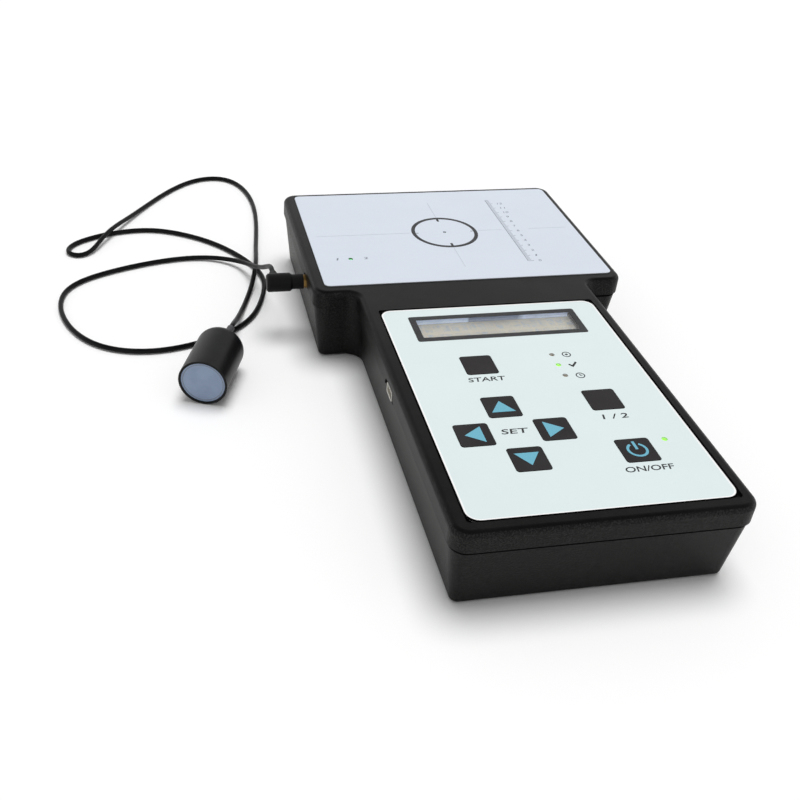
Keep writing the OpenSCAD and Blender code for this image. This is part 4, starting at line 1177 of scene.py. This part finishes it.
# %% Contacts, leads and caps
bm = bmesh.new()
tongue_low, tongue_high = (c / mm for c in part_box("usb_tongue"))
contact_pitch, inset, half_w, thick = 0.65, 0.3, 0.2, 0.08
for i in range(5):
    y = (tongue_low.y + tongue_high.y) / 2 + contact_pitch * (i - 2)
    add_box(bm, (tongue_low.x + inset, y - half_w, tongue_high.z),
            (tongue_high.x - inset, y + half_w, tongue_high.z + thick))
finish_piece("tongue_contacts", bm, "brass")

bm = bmesh.new()
main_top, head_board_top = (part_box(n)[1].z / mm for n in ("main_board", "sensor_board"))
main_y = sum(c.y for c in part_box("main_board")) / 2 / mm
head_y = sum(c.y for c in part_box("sensor_board")) / 2 / mm
main_chips = ((30, 0, 12, 12), (-32, 4, 8, 10), (12, -34, 12, 7), (32, -20, 6, 5))
head_chips = ((38, 16, 10, 10), (38, -8, 7, 7), (-34, 14, 6, 8))
chips = [(x, main_y + y, w, l, main_top) for x, y, w, l in main_chips]
chips += [(x, head_y + y, w, l, head_board_top) for x, y, w, l in head_chips]
lead_pitch, lead_top = 1.27, 0.7
for x, y, w, l, base in chips:
    leads = int(l / lead_pitch) - 1
    for side in (-1, 1):
        for i in range(leads):
            ly = y + lead_pitch * (i - (leads - 1) / 2)
            for start, end, foot in ((0, 0.5, 0.5), (0.5, 1.1, 0.01)):
                near, far = sorted(x + side * (w / 2 + out) for out in (start, end))
                add_box(bm, (near, ly - half_w, base + foot), (far, ly + half_w, base + lead_top))
finish_piece("chip_leads", bm, "socket_steel")

bm = bmesh.new()
cells_low, cells_high = (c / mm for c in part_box("battery_cells"))
cell_z = (cells_low.z + cells_high.z) / 2
cap_profile = [(0, -0.2), (2.6, -0.2), (2.6, 0.12), (2.4, 0.22), (0, 0.22)]
cell_step = 14.5
for i in range(4):
    y, cap_way = (cells_high.y, (0, 1, 0)) if i % 2 else (cells_low.y, (0, -1, 0))
    spin(bm, cap_profile, axis_frame(((i - 1.5) * cell_step, y, cell_z), cap_way), 32)
finish_piece("cell_caps", bm, "socket_steel", smooth_angle=40)
print("contacts, leads and caps made")

# %% [markdown]
# ## Floor and light
#
# The tester stands on a white ground under broad soft light. The floor is white to the camera and
# a little greyer to bounced light, and it keeps the soft shadow. The sky gives even light from all
# round, and one broad lamp from above gives the shadows their lean. Together they light a level
# surface at about the strength at which its colour is written. The lamp is hidden from mirror
# reflections, which see only the sky.

# %% Floor
floor_mesh = bpy.data.meshes.new("floor")
reach = 6
floor_corners = [(x * reach, y * reach, 0) for x, y in ((-1, -1), (1, -1), (1, 1), (-1, 1))]
floor_mesh.from_pydata(floor_corners, [], [(0, 1, 2, 3)])
floor = new_object("floor", floor_mesh)
floor.location.z = -0.0002
tree, shader = new_finish("floor_sheet", 0.7, Specular_IOR_Level=0.1)
seen = put(tree, "LightPath").outputs["Is Camera Ray"]
feed(shader, "Base Color", mixed(tree, seen, (0.88, 0.88, 0.87), (1.0, 1.0, 1.0)))
wear(floor, "floor_sheet")

# %% Sky and lamp
scene = bpy.context.scene
scene.view_settings.view_transform = "Standard"
sky = bpy.data.worlds.new("studio")
scene.world = sky
sky.use_nodes = True
tree = sky.node_tree
rays = put(tree, "LightPath").outputs
way = put(tree, "TexCoord").outputs["Generated"]
height = put(tree, "SeparateXYZ", {0: way}).outputs["Z"]
ceiling = ramp(tree, height, 0.48, 0.74, 1.0, 0.25)
mirrored = rays["Is Glossy Ray"]
shown = maths(tree, "MAXIMUM", rays["Is Camera Ray"], rays["Is Transmission Ray"])
shown = maths(tree, "MAXIMUM", shown, maths(tree, "MULTIPLY", mirrored, ceiling))
even_light = 0.42
bounced = maths(tree, "SUBTRACT", 1.0, maths(tree, "MAXIMUM", shown, mirrored))
strength = maths(tree, "MULTIPLY_ADD", bounced, even_light, shown)
back = tree.nodes["Background"]
back.inputs["Color"].default_value = (1, 1, 1, 1)
feed(back, "Strength", strength)

lamp_data = bpy.data.lights.new("broad_lamp", "SUN")
lamp_data.energy = 1.98
lamp_data.angle = math.radians(35)
lamp = new_object("broad_lamp", lamp_data)
lamp.visible_glossy = False
lamp.rotation_euler = (math.radians(-9), math.radians(5), 0)
print("lamp leans", [round(math.degrees(a)) for a in lamp.rotation_euler])
